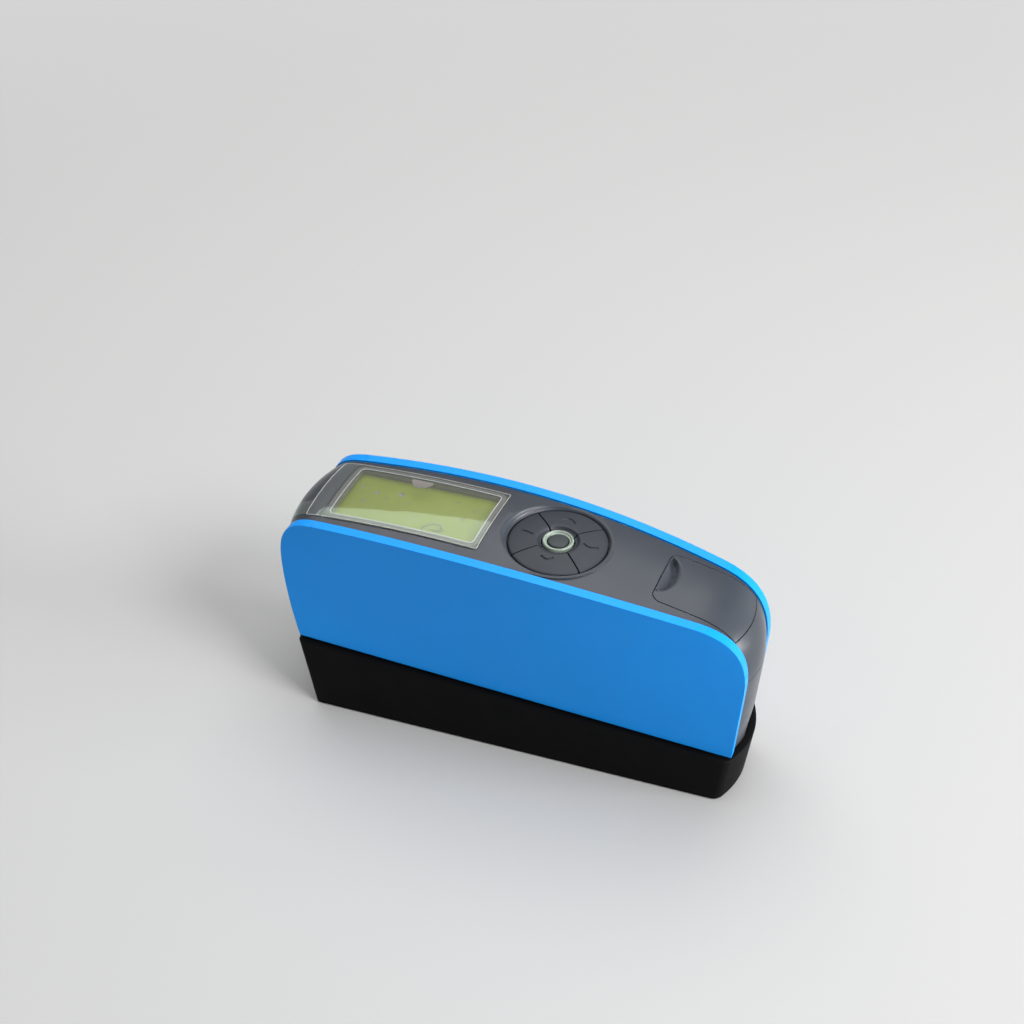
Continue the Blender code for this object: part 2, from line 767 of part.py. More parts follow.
def key_profile():
    """Radius and height round one key's section: dish, crown, edge and underside."""
    dish = KEY_INNER + 0.5
    crest = KEY_INNER + 1.6
    slope = (crest + KEY_RADIUS) / 2
    return ((KEY_INNER, KEY_CROWN - DISH_DEPTH), (dish, KEY_CROWN - DISH_DEPTH * 0.8),
            (crest, KEY_CROWN), (crest + 1.2, KEY_CROWN), (slope, KEY_CROWN * 0.6),
            (KEY_RADIUS - 0.5, 0.05), (KEY_RADIUS, -0.35), (KEY_RADIUS, -KEY_THICK),
            (KEY_INNER, -KEY_THICK))


def make_keys():
    steps = 12
    centre = KEYS @ Vector((0.0, 0.0, -KEY_THICK))
    for name, turn in (("key_right", 0.0), ("key_up", 90.0), ("key_left", 180.0),
                       ("key_down", 270.0)):
        loops = []
        for step in range(steps + 1):
            share = -1.0 + 2.0 * step / steps
            loop = []
            for radius, height in key_profile():
                limit = math.pi / 4 - math.asin(KEY_SPLIT / 2 / radius)
                angle = math.radians(turn) + share * limit
                loop.append((radius * math.cos(angle), radius * math.sin(angle), height))
            loops.append(loop)
        part(name, loft(loops), "key", KEYS, pivot=centre)
    cap = RING_RADIUS - RING_WIDTH - SEAT_GAP
    profile = ((0.0, CAP_HEIGHT + 0.1), (cap * 0.6, CAP_HEIGHT), (cap - 0.35, CAP_HEIGHT - 0.12),
               (cap, CAP_HEIGHT - 0.5), (cap, -KEY_THICK), (0.0, -KEY_THICK))
    part("centre_button", lathe(profile, 32), "key", KEYS, pivot=centre)
    inner = RING_RADIUS - RING_WIDTH
    ring = ((RING_RADIUS, -KEY_THICK), (RING_RADIUS, RING_HEIGHT - 0.5),
            (RING_RADIUS - 0.3, RING_HEIGHT - 0.1), (RING_RADIUS - 0.7, RING_HEIGHT),
            (inner + 0.4, RING_HEIGHT - 0.05), (inner, RING_HEIGHT - 0.35),
            (inner, -KEY_THICK))
    part("light_ring", lathe(ring, 36, closed=True), "ring", KEYS)


def make_keypad_sheet():
    """Rubber sheet with one dome under each key and one under the centre button."""
    top = -KEY_THICK - 1.0 - SEAT_GAP
    low = top - SHEET_THICK
    sheet = part("key_sheet", rod(SHEET_RADIUS, low, top, sides=32), "rubber", KEYS)
    dome_top = -KEY_THICK - KEY_TRAVEL - 0.1
    reach = (KEY_INNER + KEY_RADIUS) / 2
    places = [(0.0, 0.0)]
    for turn in range(4):
        angle = math.pi / 2 * turn
        places.append((reach * math.cos(angle), reach * math.sin(angle)))
    for x, y in places:
        radius = 2.4 if (x, y) != (0.0, 0.0) else 2.0
        profile = ((0.0, dome_top), (radius * 0.6, dome_top), (radius, top - 0.2), (0.0, top - 0.2))
        join(sheet, lathe(profile, 10), KEYS @ Matrix.Translation((x, y, 0.0)))
    board_top = low - SEAT_GAP
    half_x = SHEET_RADIUS + 2.1
    half_y = SHEET_RADIUS - 1.3
    board = box((-half_x, -half_y, board_top - BOARD_THICK), (half_x, half_y, board_top))
    part("key_board", board, "board", KEYS)


def door_edge_frame():
    """Frame on the skin at the middle of the door's rear edge, X ahead along the skin."""
    run = SKIN.run_at(DOOR_X[0])
    edge = Vector(SKIN.place(run, 0.0, 0.0))
    ahead = Vector(SKIN.place(run + SCOOP_REACH, 0.0, 0.0)) - edge
    pitch = -math.atan2(ahead.z, ahead.x)
    return METER @ Matrix.Translation(edge) @ Matrix.Rotation(pitch, 4, "Y")


def arc_circle(half, reach, z, sides=36):
    """The circle whose arc stands on the rear edge with this half chord and height."""
    radius = (half ** 2 + reach ** 2) / (2 * reach)
    ring = []
    for side in range(sides):
        angle = math.tau * side / sides
        ring.append((reach - radius + radius * math.cos(angle), radius * math.sin(angle), z))
    return ring


def make_battery_door():
    """Skin piece wrapped over the front curve, with a thumbnail scoop at its rear edge."""
    hinge = METER @ Vector(SKIN.place(SKIN.run_at(DOOR_X[1]), 0.0, 0.0))
    door = part("battery_door", door_patch(0.0, 0.0, DOOR_THICK), "cover", pivot=hinge)
    edge = door_edge_frame()
    wall = 1.2
    low = -SCOOP_DEPTH - wall
    pocket = loft([arc_circle(SCOOP_HALF + wall, SCOOP_REACH + wall, low),
                   arc_circle(SCOOP_HALF + wall, SCOOP_REACH + wall, -DOOR_THICK + 0.6)])
    pocket = tool(pocket, edge)
    cut(pocket, box((-REACH, -REACH, -REACH), (0.0, REACH, REACH)), edge)
    combine(door, pocket, "UNION")
    rings = [arc_circle(SCOOP_HALF, SCOOP_REACH, -SCOOP_DEPTH)]
    turns = 4
    for step in range(turns + 1):
        angle = math.pi / 2 * step / turns
        lip = SCOOP_LIP * (1.0 - math.cos(angle))
        depth = SCOOP_LIP_DEPTH * (1.0 - math.sin(angle))
        rings.append(arc_circle(SCOOP_HALF + lip * 0.25, SCOOP_REACH + lip, -depth))
    rings.append(arc_circle(SCOOP_HALF + SCOOP_LIP * 0.25, SCOOP_REACH + SCOOP_LIP, 6.0))
    scoop = tool(loft(rings), edge)
    slope = math.atan((SCOOP_DEPTH - SCOOP_EDGE) / SCOOP_REACH)
    ramp = box((-REACH, -REACH, -REACH), (1.0, REACH, 0.0))
    tilt = Matrix.Translation((SCOOP_REACH, 0.0, -SCOOP_DEPTH)) @ Matrix.Rotation(slope, 4, "Y")
    cut(scoop, ramp, edge @ tilt)
    combine(door, scoop, "DIFFERENCE")
    return door


def make_battery():
    rear = CELL_FRONT_X - CELL_LENGTH
    nub = 1.0
    length = CELL_LENGTH - nub
    along = METER @ Matrix.Translation((rear, 0.0, CELL_Z)) @ Matrix.Rotation(math.pi / 2, 4, "Y")
    profile = ((0.0, 0.0), (CELL_RADIUS - 0.6, 0.0), (CELL_RADIUS, 0.5),
               (CELL_RADIUS, length - 0.5), (CELL_RADIUS - 0.6, length), (2.75, length),
               (2.6, CELL_LENGTH), (0.0, CELL_LENGTH))
    part("battery_cell", lathe(profile, 24), "cell", along)
    bore = CELL_RADIUS + SEAT_GAP
    spring_room = SPRING_LENGTH + 2 * SEAT_GAP
    start = rear - spring_room - HOLDER_WALL
    front = CELL_FRONT_X + 2 * SEAT_GAP + 0.4
    stop = front + HOLDER_WALL
    low = CELL_Z - bore - HOLDER_WALL
    half = half_width(stop, low) - PANEL_WALL - 2 * SEAT_GAP - HOUSING_WALL - 0.1
    holder = part("battery_holder", box((start, -half, low), (stop, half, CELL_Z)), "cover")
    bed = METER @ Matrix.Translation((0.0, 0.0, CELL_Z)) @ Matrix.Rotation(math.pi / 2, 4, "Y")
    cut(holder, rod(bore, start + HOLDER_WALL, front, sides=40), bed)
    coil = Matrix.Translation((rear - SEAT_GAP - SPRING_LENGTH, 0.0, CELL_Z))
    spring = helix(SPRING_WIDE, SPRING_NARROW, SPRING_WIRE / 2, SPRING_LENGTH, 2.5)
    part("battery_spring", spring, "steel",
         METER @ coil @ Matrix.Rotation(math.pi / 2, 4, "Y"))
    contact = box((CELL_FRONT_X + SEAT_GAP, -4.0, CELL_Z - 5.0),
                  (CELL_FRONT_X + SEAT_GAP + 0.4, 4.0, CELL_Z + 3.0))
    part("battery_contact", contact, "steel")


def helix(wide, narrow, wire, height, turns):
    """A conical wire coil that narrows as it rises along Z, closed at both ends."""
    steps = 10
    rings = []
    count = round(steps * turns)
    for step in range(count + 1):
        share = step / count
        angle = math.tau * step / steps
        rise = wire + (height - 2 * wire) * share
        radius = wide + (narrow - wide) * share
        ring = []
        for side in range(5):
            turn = math.tau * side / 5
            out = radius + wire * math.cos(turn)
            ring.append((out * math.cos(angle), out * math.sin(angle),
                         rise + wire * math.sin(turn)))
        rings.append(ring)
    return loft(rings)


def beam(sign):
    """Frame whose Z runs from the measured spot along one sixty degree beam."""
    lean = sign * (math.pi / 2 - BEAM_RISE)
    spot = Matrix.Translation((0.0, 0.0, HOUSING_FLOOR_Z - SPOT_DROP))
    return METER @ spot @ Matrix.Rotation(lean, 4, "Y")


def block_screw_places():
    x, y = BLOCK_SCREWS
    return [(a, b) for a in (-x, x) for b in (-y, y)]


def make_optics():
    lens_reach = ARM_REACH - HOLDER_LENGTH - LENS_THICK - 2 * SEAT_GAP
    low = HOUSING_FLOOR_Z + HOUSING_WALL + SEAT_GAP
    rise = Vector((math.cos(BEAM_RISE), math.sin(BEAM_RISE)))
    square = Vector((-rise.y, rise.x))
    end = Vector((0.0, HOUSING_FLOOR_Z - SPOT_DROP)) + rise * ARM_REACH
    outer = end - square * ARM_HALF
    inner = end + square * ARM_HALF
    valley = 6.0
    saddle = inner.y - (inner.x - valley) * math.tan(BEAM_RISE)
    half = [Vector((outer.x, low)), outer, inner, Vector((valley, saddle))]
    outline = half + [Vector((-p.x, p.y)) for p in reversed(half)]
    loops = [[(p.x, y, p.y) for p in outline] for y in (-BLOCK_HALF, BLOCK_HALF)]
    block = part("optic_block", loft(loops), "anodised")
    seat = LENS_RADIUS + SEAT_GAP
    for sign in (-1.0, 1.0):
        cut(block, rod(BEAM_BORE, -12.0, lens_reach + 2.0, sides=16), beam(sign))
        cut(block, rod(seat, lens_reach - SEAT_GAP, ARM_REACH + 5.0, sides=20), beam(sign))
    for x, y in block_screw_places():
        cut(block, rod(1.1 + SEAT_GAP, low - 1.0, low + 6.5, (x, y), 10))
    for name, sign in (("source", -1.0), ("receiver", 1.0)):
        start = lens_reach
        half = LENS_RADIUS / 2
        lens = ((0.0, start), (half, start + 0.3), (LENS_RADIUS, start + 0.9),
                (LENS_RADIUS, start + LENS_THICK - 0.9), (half, start + LENS_THICK - 0.3),
                (0.0, start + LENS_THICK))
        part(f"{name}_lens", lathe(lens, 20), "lens_glass", beam(sign))
        plug_start = start + LENS_THICK + SEAT_GAP
        plug = ((0.0, plug_start + 5.0), (2.0, plug_start + 5.0), (3.6, plug_start),
                (LENS_RADIUS, plug_start), (LENS_RADIUS, ARM_REACH), (0.0, ARM_REACH))
        part(f"{name}_holder", lathe(plug, 20), "anodised", beam(sign))
        tip = plug_start + 4.6
        dome = ((0.0, tip - 2.4), (1.1, tip - 2.0), (1.6, tip - 1.2), (1.6, tip), (0.0, tip))
        part(f"{name}_chip", lathe(dome, 12), "clear", beam(sign))
        board = box((-6.0, -8.0, ARM_REACH + SEAT_GAP),
                    (6.0, 8.0, ARM_REACH + SEAT_GAP + BOARD_THICK))
        part(f"{name}_board", board, "board", beam(sign))
    for number, (x, y) in enumerate(block_screw_places(), 1):
        seat_z = HOUSING_FLOOR_Z + HOUSING_WALL - 0.9
        head = seat_z - SEAT_GAP
        tip = low + 5.5
        profile = ((0.0, head - 0.7), (2.1, head - 0.7), (2.1, head), (1.1, head),
                   (1.1, tip - 0.5), (0.0, tip))
        place = METER @ Matrix.Translation((x, y, 0.0))
        part(f"block_screw_{number}", lathe(profile, 10), "steel", place)


def centre_on_origin():
    """Move everything so that the part's box stands on the origin."""
    corners = [obj.matrix_world @ vert.co for obj in bpy.data.objects for vert in obj.data.vertices]
    low = Vector([min(corner[axis] for corner in corners) for axis in range(3)])
    high = Vector([max(corner[axis] for corner in corners) for axis in range(3)])
    shift = Vector(((low.x + high.x) / 2, (low.y + high.y) / 2, low.z))
    for obj in bpy.data.objects:
        obj.location -= shift
    bpy.context.view_layer.update()
    return high - low, shift


def main():
    for obj in list(bpy.data.objects):
        bpy.data.objects.remove(obj, do_unlink=True)
    make_tray()
    make_base_plate()
    make_tray_screws()
    make_rubber_strips()
    make_tile()
    make_side_panels()
    make_lower_housing()
    make_top_cover()
    make_display()
    make_display_film()
    make_keys()
    make_keypad_sheet()
    make_battery_door()
    make_battery()
    make_optics()
    size, shift = centre_on_origin()
    print("size in metres", tuple(round(value, 4) for value in size))
    print("shift in metres", tuple(round(value, 5) for value in shift))


main()
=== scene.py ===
# %% [markdown]
# A hand-held gloss meter in its calibration tray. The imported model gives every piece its
# size and place. This script adds what the eye sees: smooth moulded skins, rounded edges,
# marks and real finishes, on a plain pale floor in soft light.

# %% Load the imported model
import math

import bmesh
import bpy
from mathutils import Matrix, Vector
from mathutils.geometry import interpolate_bezier
from mathutils.kdtree import KDTree


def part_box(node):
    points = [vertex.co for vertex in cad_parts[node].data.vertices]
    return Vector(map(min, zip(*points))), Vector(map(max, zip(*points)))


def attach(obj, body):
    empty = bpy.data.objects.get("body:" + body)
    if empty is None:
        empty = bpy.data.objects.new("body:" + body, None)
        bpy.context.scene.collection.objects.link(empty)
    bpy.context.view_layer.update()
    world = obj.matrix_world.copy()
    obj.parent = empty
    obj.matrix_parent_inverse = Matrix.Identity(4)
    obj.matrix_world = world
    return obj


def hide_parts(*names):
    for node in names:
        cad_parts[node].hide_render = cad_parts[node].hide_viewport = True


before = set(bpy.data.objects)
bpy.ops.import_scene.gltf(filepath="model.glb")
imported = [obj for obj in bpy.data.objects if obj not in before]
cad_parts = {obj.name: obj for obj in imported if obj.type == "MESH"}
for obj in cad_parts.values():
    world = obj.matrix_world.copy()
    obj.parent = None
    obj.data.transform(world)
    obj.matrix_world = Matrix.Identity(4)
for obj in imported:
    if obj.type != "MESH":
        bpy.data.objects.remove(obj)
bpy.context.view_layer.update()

MM = 0.001

# %% [markdown]
# The camera stands where the photographer stood. Its place, its turn and its lens were
# worked out from the long straight edges, so the render can be laid over the photograph.

# %% Camera
PHOTO_PIXELS, FOCAL_PIXELS, SENSOR_MM = 1024.0, 1800.0, 36.0
STANDS_AT = (0.15241, -0.39283, 0.42040)

eye = bpy.data.cameras.new("camera")
eye.sensor_width = SENSOR_MM
eye.lens = SENSOR_MM * FOCAL_PIXELS / PHOTO_PIXELS
eye.clip_start = 0.01
camera = bpy.data.objects.new("camera", eye)
right = Vector((0.92739, 0.37408, 0.00385))
down = Vector((0.23670, -0.57879, -0.78036))
ahead = Vector((-0.28969, 0.72461, -0.62531))
turn = Matrix((right, -down, -ahead)).transposed().to_4x4()
camera.matrix_world = Matrix.Translation(STANDS_AT) @ turn
bpy.context.scene.collection.objects.link(camera)
bpy.context.scene.camera = camera
print("lens", round(eye.lens, 2), "mm")

# %% [markdown]
# The meter leans a little in its tray, whose rim slopes. Its pieces are drawn upright in
# millimetres, X along the meter, Y across it and Z up from the panels' lower edge, and one
# matrix takes a finished mesh to its place in metres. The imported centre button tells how
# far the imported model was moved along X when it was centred.

# %% The meter's own frame
KEY_X, KEY_Z = 5.2, 51.8
STAND_HEIGHT, LEAN = 23.1, math.radians(3.64)

stand = Matrix.Translation((0.0, 0.0, STAND_HEIGHT)) @ Matrix.Rotation(LEAN, 4, "Y")
low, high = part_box("centre_button")
slide = (low[0] + high[0]) / 2 / MM - (stand @ Vector((KEY_X, 0.0, KEY_Z))).x
SLIDE = Matrix.Translation((slide, 0.0, 0.0))
METER = SLIDE @ stand
KEYS = Matrix.Translation(METER @ Vector((KEY_X, 0.0, KEY_Z)))
print("moved along X by", round(slide, 3), "mm")

# %% [markdown]
# Two curves give the whole body its shape: the rim, a long flat arc in side view, and the
# width, which is bowed at the rim and straight at the foot. Between the two the side is
# ruled, as a flat sheet bends. Each later piece asks these two functions where it lies.

# %% Rim and width
RIM_X, RIM_Z, RIM_RADIUS = 8.0, 52.2, 420.0
FOOT_HALF, FOOT_TAPER = 17.6, 0.0597
RIM_HALF, RIM_BOW, RIM_TAPER, BOW_REACH = 16.7, 4.55, 0.0361, 72.0


def rim_height(x):
    """Height of the panels' rim, an arc along most of the length."""
    return RIM_Z - RIM_RADIUS + math.sqrt(RIM_RADIUS ** 2 - (x - RIM_X) ** 2)


def half_width(x, z):
    """Half the width over the panels, ruled from the lower edge to the rim."""
    foot = FOOT_HALF - FOOT_TAPER * x
    rim = RIM_HALF + RIM_BOW * (1.0 - (x / BOW_REACH) ** 2) - RIM_TAPER * x
    return foot + (rim - foot) * min(max(z / RIM_Z, 0.0), 1.0)


print("widest", round(2 * half_width(0.0, RIM_Z), 1), "mm")

# %% [markdown]
# The side outline is four chains of points: over the top with its round rear and nose,
# down the front, back along the foot and up the heel. Opposite chains have the same number
# of points, so that a grid can be stretched over the whole side with no pinched corner. The
# handles of the round parts were fitted to the photograph.

# %% Side outline
REAR, ALONG, NOSE, RISE = 24, 60, 36, 24
TOP = REAR + ALONG + NOSE
RIM_STEP, PANEL_WALL, SEAT_GAP = 0.45, 3.3, 0.3
FOOT_REAR, FOOT_FRONT = -71.1, 71.3
REAR_SLOPE, FRONT_SLOPE = 0.24, 0.05


def bezier(points, steps):
    """Points along one Bezier span, without its last point."""
    return interpolate_bezier(*[Vector(point) for point in points], steps + 1)[:-1]


def side_outline(floor=0.0):
    """The meter's side outline, clockwise from its rearmost point."""
    rear, foot = Vector((-78.4, 34.0)), Vector((FOOT_REAR, 0.0))
    corner, nose = Vector((-68.0, rim_height(-68.0))), Vector((FOOT_FRONT, 27.0))
    shoulder = Vector((53.0, rim_height(53.0)))
    back, up = corner - rear
    ahead, drop = nose.x - shoulder.x, shoulder.y - nose.y
    top = bezier((rear, (rear.x + 0.01 * back, rear.y + 0.575 * up),
                  (corner.x - 0.67 * back, corner.y - 0.115 * up), corner), REAR)
    for step in range(ALONG):
        x = corner.x + (shoulder.x - corner.x) * step / ALONG
        top.append(Vector((x, rim_height(x))))
    top += bezier((shoulder, (shoulder.x + 0.71 * ahead, shoulder.y - 0.061 * drop),
                   (nose.x, nose.y + 0.614 * drop), nose), NOSE)
    low_rear = Vector((foot.x - floor * REAR_SLOPE, floor))
    low_front = Vector((nose.x + floor * FRONT_SLOPE, floor))
    curved = RISE if floor == 0.0 else RISE - 1
    heel = bezier((rear, (rear.x, rear.y * 0.76), (foot.x - 3.4, rear.y * 0.31), foot), curved)
    front = [nose.lerp(Vector((nose.x, 0.0)), step / curved) for step in range(curved)]
    if floor < 0.0:
        heel.append(foot)
        front.append(Vector((nose.x, 0.0)))
    under = [low_front.lerp(low_rear, step / TOP) for step in range(TOP)]
    return top + front + under + [low_rear] + list(reversed(heel[1:]))


def ways(outline):
    """Outward mitre vectors of the clockwise outline."""
    found = []
    for index, point in enumerate(outline):
        before = (point - outline[index - 1]).normalized()
        after = (outline[(index + 1) % len(outline)] - point).normalized()
        first, second = Vector((-before.y, before.x)), Vector((-after.y, after.x))
        middle = (first + second).normalized()
        found.append(middle / max(middle.dot(first), 0.4))
    return found


def shrunk(outline, inset):
    """The outline moved inwards by the same distance, with its foot spaced evenly again."""
    moved = [point - way * inset for point, way in zip(outline, ways(outline))]
    first = TOP + RISE
    for step in range(1, TOP):
        moved[first + step] = moved[first].lerp(moved[first + TOP], step / TOP)
    return moved


print("outline points", len(side_outline()))

# %% [markdown]
# A sheet starts as Blender's own grid. Each of its points is moved to where the four chains
# blend, a Coons patch. `grow` then extrudes the sheet to a closed solid, keeping the first
# side, and moves each new point by a rule. Most pieces of the body are made in these two steps.

# %% Sheets and solids
def side_sheet(outline, width):
    """A grid stretched over a side outline, at the width that a function gives."""
    bm = bmesh.new()
    bmesh.ops.create_grid(bm, x_segments=TOP, y_segments=RISE, size=1.0)
    count = len(outline)
    for vert in bm.verts:
        i, j = round((vert.co.x + 1) / 2 * TOP), round((1 - vert.co.y) / 2 * RISE)
        a, b = i / TOP, j / RISE
        top, foot = outline[i], outline[2 * TOP + RISE - i]
        heel, front = outline[(count - j) % count], outline[TOP + j]
        corners = ((outline[0] * (1 - a) + outline[TOP] * a) * (1 - b)
                   + (outline[2 * TOP + RISE] * (1 - a) + outline[TOP + RISE] * a) * b)
        spot = top * (1 - b) + foot * b + heel * (1 - a) + front * a - corners
        vert.co = (spot.x, width(spot.x, spot.y), spot.y)
    return bm


def grow(bm, move):
    """Extrude all faces to a closed solid and move each new point by a rule."""
    grown = bmesh.ops.extrude_face_region(bm, geom=list(bm.faces), use_keep_orig=True)
    fresh = [item for item in grown["geom"] if isinstance(item, bmesh.types.BMVert)]
    for vert in fresh:
        vert.co = move(vert.co)
    return set(fresh)


def shape(bm, place=METER):
    """Turn a millimetre mesh into an object in metres, its faces pointing outwards."""
    bm.transform(Matrix.Scale(MM, 4) @ place)
    bmesh.ops.recalc_face_normals(bm, faces=bm.faces)
    if bm.calc_volume(signed=True) < 0.0:
        bmesh.ops.reverse_faces(bm, faces=bm.faces)
    mesh = bpy.data.meshes.new("shape")
    bm.to_mesh(mesh)
    bm.free()
    made = bpy.data.objects.new("shape", mesh)
    bpy.context.scene.collection.objects.link(made)
    return made


def combine(target, tool, operation="DIFFERENCE"):
    """Cut, join or intersect a target with a tool, which is used up."""
    step = target.modifiers.new("combine", "BOOLEAN")
    step.operation, step.solver, step.object = operation, "EXACT", tool
    graph = bpy.context.evaluated_depsgraph_get()
    result = bpy.data.meshes.new_from_object(target.evaluated_get(graph))
    target.modifiers.clear()
    target.data = result
    bpy.data.objects.remove(tool, do_unlink=True)


def finished(target, name, finish, nodes=(), body="meter_and_tray", angle=32.0):
    """Name a piece, smooth it, give it its finish and its body, and hide what it stands for."""
    target.name = target.data.name = name
    target.data.materials.clear()
    target.data.materials.append(finish)
    target.data.shade_smooth()
    target.data.set_sharp_from_angle(angle=math.radians(angle))
    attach(target, body)
    if nodes:
        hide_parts(*nodes)
    print(name, len(target.data.polygons), "faces")


# %% [markdown]
# Colours are written as the hex values that a picture shows, and one function turns them
# into the linear values that light adds up in.

# %% Colour and node helpers
def linear(code):
    """Linear red, green and blue of an sRGB hex colour."""
    channels = [int(code[place:place + 2], 16) / 255.0 for place in (1, 3, 5)]
    return tuple(c / 12.92 if c <= 0.04045 else ((c + 0.055) / 1.055) ** 2.4 for c in channels)


def add(tree, kind, links=None, **settings):
    """Add a node, set its properties or sockets, and link its inputs."""
    node = tree.nodes.new(kind)
    for key, value in settings.items():
        if hasattr(node, key):
            setattr(node, key, value)
        else:
            node.inputs[key.replace("_", " ")].default_value = value
    for key, source in (links or {}).items():
        tree.links.new(source, node.inputs[key])
    return node


def start(name, code, roughness, metallic=0.0, ior=1.5, specular=0.5):
    """A new material with its Principled shader at typical values."""
    made = bpy.data.materials.new(name)
    made.use_nodes = True
    shader = made.node_tree.nodes["Principled BSDF"]
    shader.inputs["Base Color"].default_value = (*linear(code), 1.0)
    shader.inputs["Roughness"].default_value = roughness
    shader.inputs["Metallic"].default_value = metallic
    shader.inputs["IOR"].default_value = ior
    shader.inputs["Specular IOR Level"].default_value = specular
    return made, made.node_tree, shader


def blended(tree, share, code, other, socket):
    """Feed a socket with a mix of two linear colours by a share."""
    tint = add(tree, "ShaderNodeMix", {"Factor": share}, data_type="RGBA")
    tint.inputs["A"].default_value = (*code, 1.0)
    tint.inputs["B"].default_value = (*other, 1.0)
    tree.links.new(tint.outputs["Result"], socket)


def ranged(tree, value, limits, **settings):
    """A value taken from one range to another; the limits are from, from, to, to."""
    node = add(tree, "ShaderNodeMapRange", {"Value": value}, **settings)
    for name, limit in zip(("From Min", "From Max", "To Min", "To Max"), limits):
        node.inputs[name].default_value = limit
    return node.outputs["Result"]


print("middle grey", round(linear("#808080")[0], 3))

# %% [markdown]
# Moulded plastic is never quite even. The steel mould is spark eroded, so its skin has a
# fine pebbled grain; the colour drifts a little where the melt flowed; and handling
# polishes it here and there. A Bevel node rounds the last small corners in the shading.

# %% Moulded plastic
FLOW_SCALE, RUB_SCALE = 38.0, 95.0  # patches in a metre: 26 mm and 11 mm wide
DRIFT, WEAR, CORNER_MM = 0.04, 0.06, 0.25


def moulded(name, code, roughness, grain_mm, depth, ior=1.49, specular=0.5, sheen=0.0):
    """Injection moulded plastic with a spark-eroded grain of a real width."""
    made, tree, shader = start(name, code, roughness, ior=ior, specular=specular)
    place = add(tree, "ShaderNodeTexCoord").outputs["Object"]
    grain = add(tree, "ShaderNodeTexNoise", {"Vector": place}, Scale=1.0 / (grain_mm * MM),
                Detail=3.0, Roughness=0.6)
    flow = add(tree, "ShaderNodeTexNoise", {"Vector": place}, Scale=FLOW_SCALE, Detail=2.0)
    dark = tuple(c * (1.0 - DRIFT) for c in linear(code))
    light = tuple(min(c * (1.0 + DRIFT), 1.0) for c in linear(code))
    blended(tree, flow.outputs["Fac"], dark, light, shader.inputs["Base Color"])
    rub = add(tree, "ShaderNodeTexNoise", {"Vector": place}, Scale=RUB_SCALE, Detail=4.0)
    gloss = ranged(tree, rub.outputs["Fac"], (0.3, 0.7, roughness - WEAR, roughness + WEAR))
    tree.links.new(gloss, shader.inputs["Roughness"])
    shader.inputs["Sheen Weight"].default_value = sheen
    shader.inputs["Sheen Roughness"].default_value = 0.3
    corner = add(tree, "ShaderNodeBevel", samples=3, Radius=CORNER_MM * MM)
    bump = add(tree, "ShaderNodeBump", {"Height": grain.outputs["Fac"],
                                        "Normal": corner.outputs["Normal"]},
               Strength=1.0, Distance=depth * MM)
    tree.links.new(bump.outputs["Normal"], shader.inputs["Normal"])
    return made


blue_abs = moulded("blue_abs_spark_eroded", "#008CE6", 0.40, 0.30, 0.006, specular=0.25)
grey_abs = moulded("dark_grey_abs_spark_eroded", "#2E333B", 0.36, 0.32, 0.008, specular=0.4,
                   sheen=0.3)
black_abs = moulded("black_abs_moulded", "#060607", 0.62, 0.35, 0.008, specular=0.08)
grey_silicone = moulded("dark_grey_silicone_moulded", "#2E3238", 0.45, 0.28, 0.006, ior=1.43,
                        specular=0.3)
cap_silicone = moulded("mid_grey_silicone_moulded", "#34393B", 0.45, 0.28, 0.006, ior=1.43,
                       specular=0.3)
print("finishes", len(bpy.data.materials))

# %% [markdown]
# Clear acrylic and film are drawn as thin sheets: mostly see-through, with a glossy skin
# whose strength grows towards the edge-on view. Only the side that faces outwards mirrors,
# since a ray that leaves a thin sheet is not thrown back inside as in a thick block.

# %% Clear sheets
HAZE_COLOUR, SKIN_COLOUR = (0.84, 0.78, 0.74, 1.0), (0.82, 1.0, 0.80, 1.0)


def clear_sheet(name, tint, haze, skin_roughness, ior=1.49, ripple_mm=0.0, ripple_depth=0.0):
    """A thin clear sheet: see-through, faintly tinted and hazy, with a glossy skin."""
    made = bpy.data.materials.new(name)
    made.use_nodes = True
    tree = made.node_tree
    tree.nodes.clear()
    out = add(tree, "ShaderNodeOutputMaterial")
    through = add(tree, "ShaderNodeBsdfTransparent", Color=(*linear(tint), 1.0))
    cloud = add(tree, "ShaderNodeBsdfDiffuse", Color=HAZE_COLOUR)
    hazy = add(tree, "ShaderNodeMixShader", Fac=haze)
    tree.links.new(through.outputs[0], hazy.inputs[1])
    tree.links.new(cloud.outputs[0], hazy.inputs[2])
    gloss = add(tree, "ShaderNodeBsdfGlossy", Roughness=skin_roughness, Color=SKIN_COLOUR)
    edge = add(tree, "ShaderNodeFresnel", IOR=ior)
    if ripple_depth:
        place = add(tree, "ShaderNodeTexCoord").outputs["Object"]
        wave = add(tree, "ShaderNodeTexNoise", {"Vector": place},
                   Scale=1.0 / (ripple_mm * MM), Detail=1.0)
        bump = add(tree, "ShaderNodeBump", {"Height": wave.outputs["Fac"]},
                   Distance=ripple_depth * MM)
        tree.links.new(bump.outputs["Normal"], gloss.inputs["Normal"])
        tree.links.new(bump.outputs["Normal"], edge.inputs["Normal"])
    side = add(tree, "ShaderNodeNewGeometry")
    front = add(tree, "ShaderNodeMath", {0: side.outputs["Backfacing"]}, operation="LESS_THAN")
    front.inputs[1].default_value = 0.5
    strength = add(tree, "ShaderNodeMath", {0: edge.outputs[0], 1: front.outputs[0]},
                   operation="MULTIPLY")
    skin = add(tree, "ShaderNodeMixShader", {"Fac": strength.outputs[0]})
    tree.links.new(hazy.outputs[0], skin.inputs[1])
    tree.links.new(gloss.outputs[0], skin.inputs[2])
    tree.links.new(skin.outputs[0], out.inputs["Surface"])
    return made


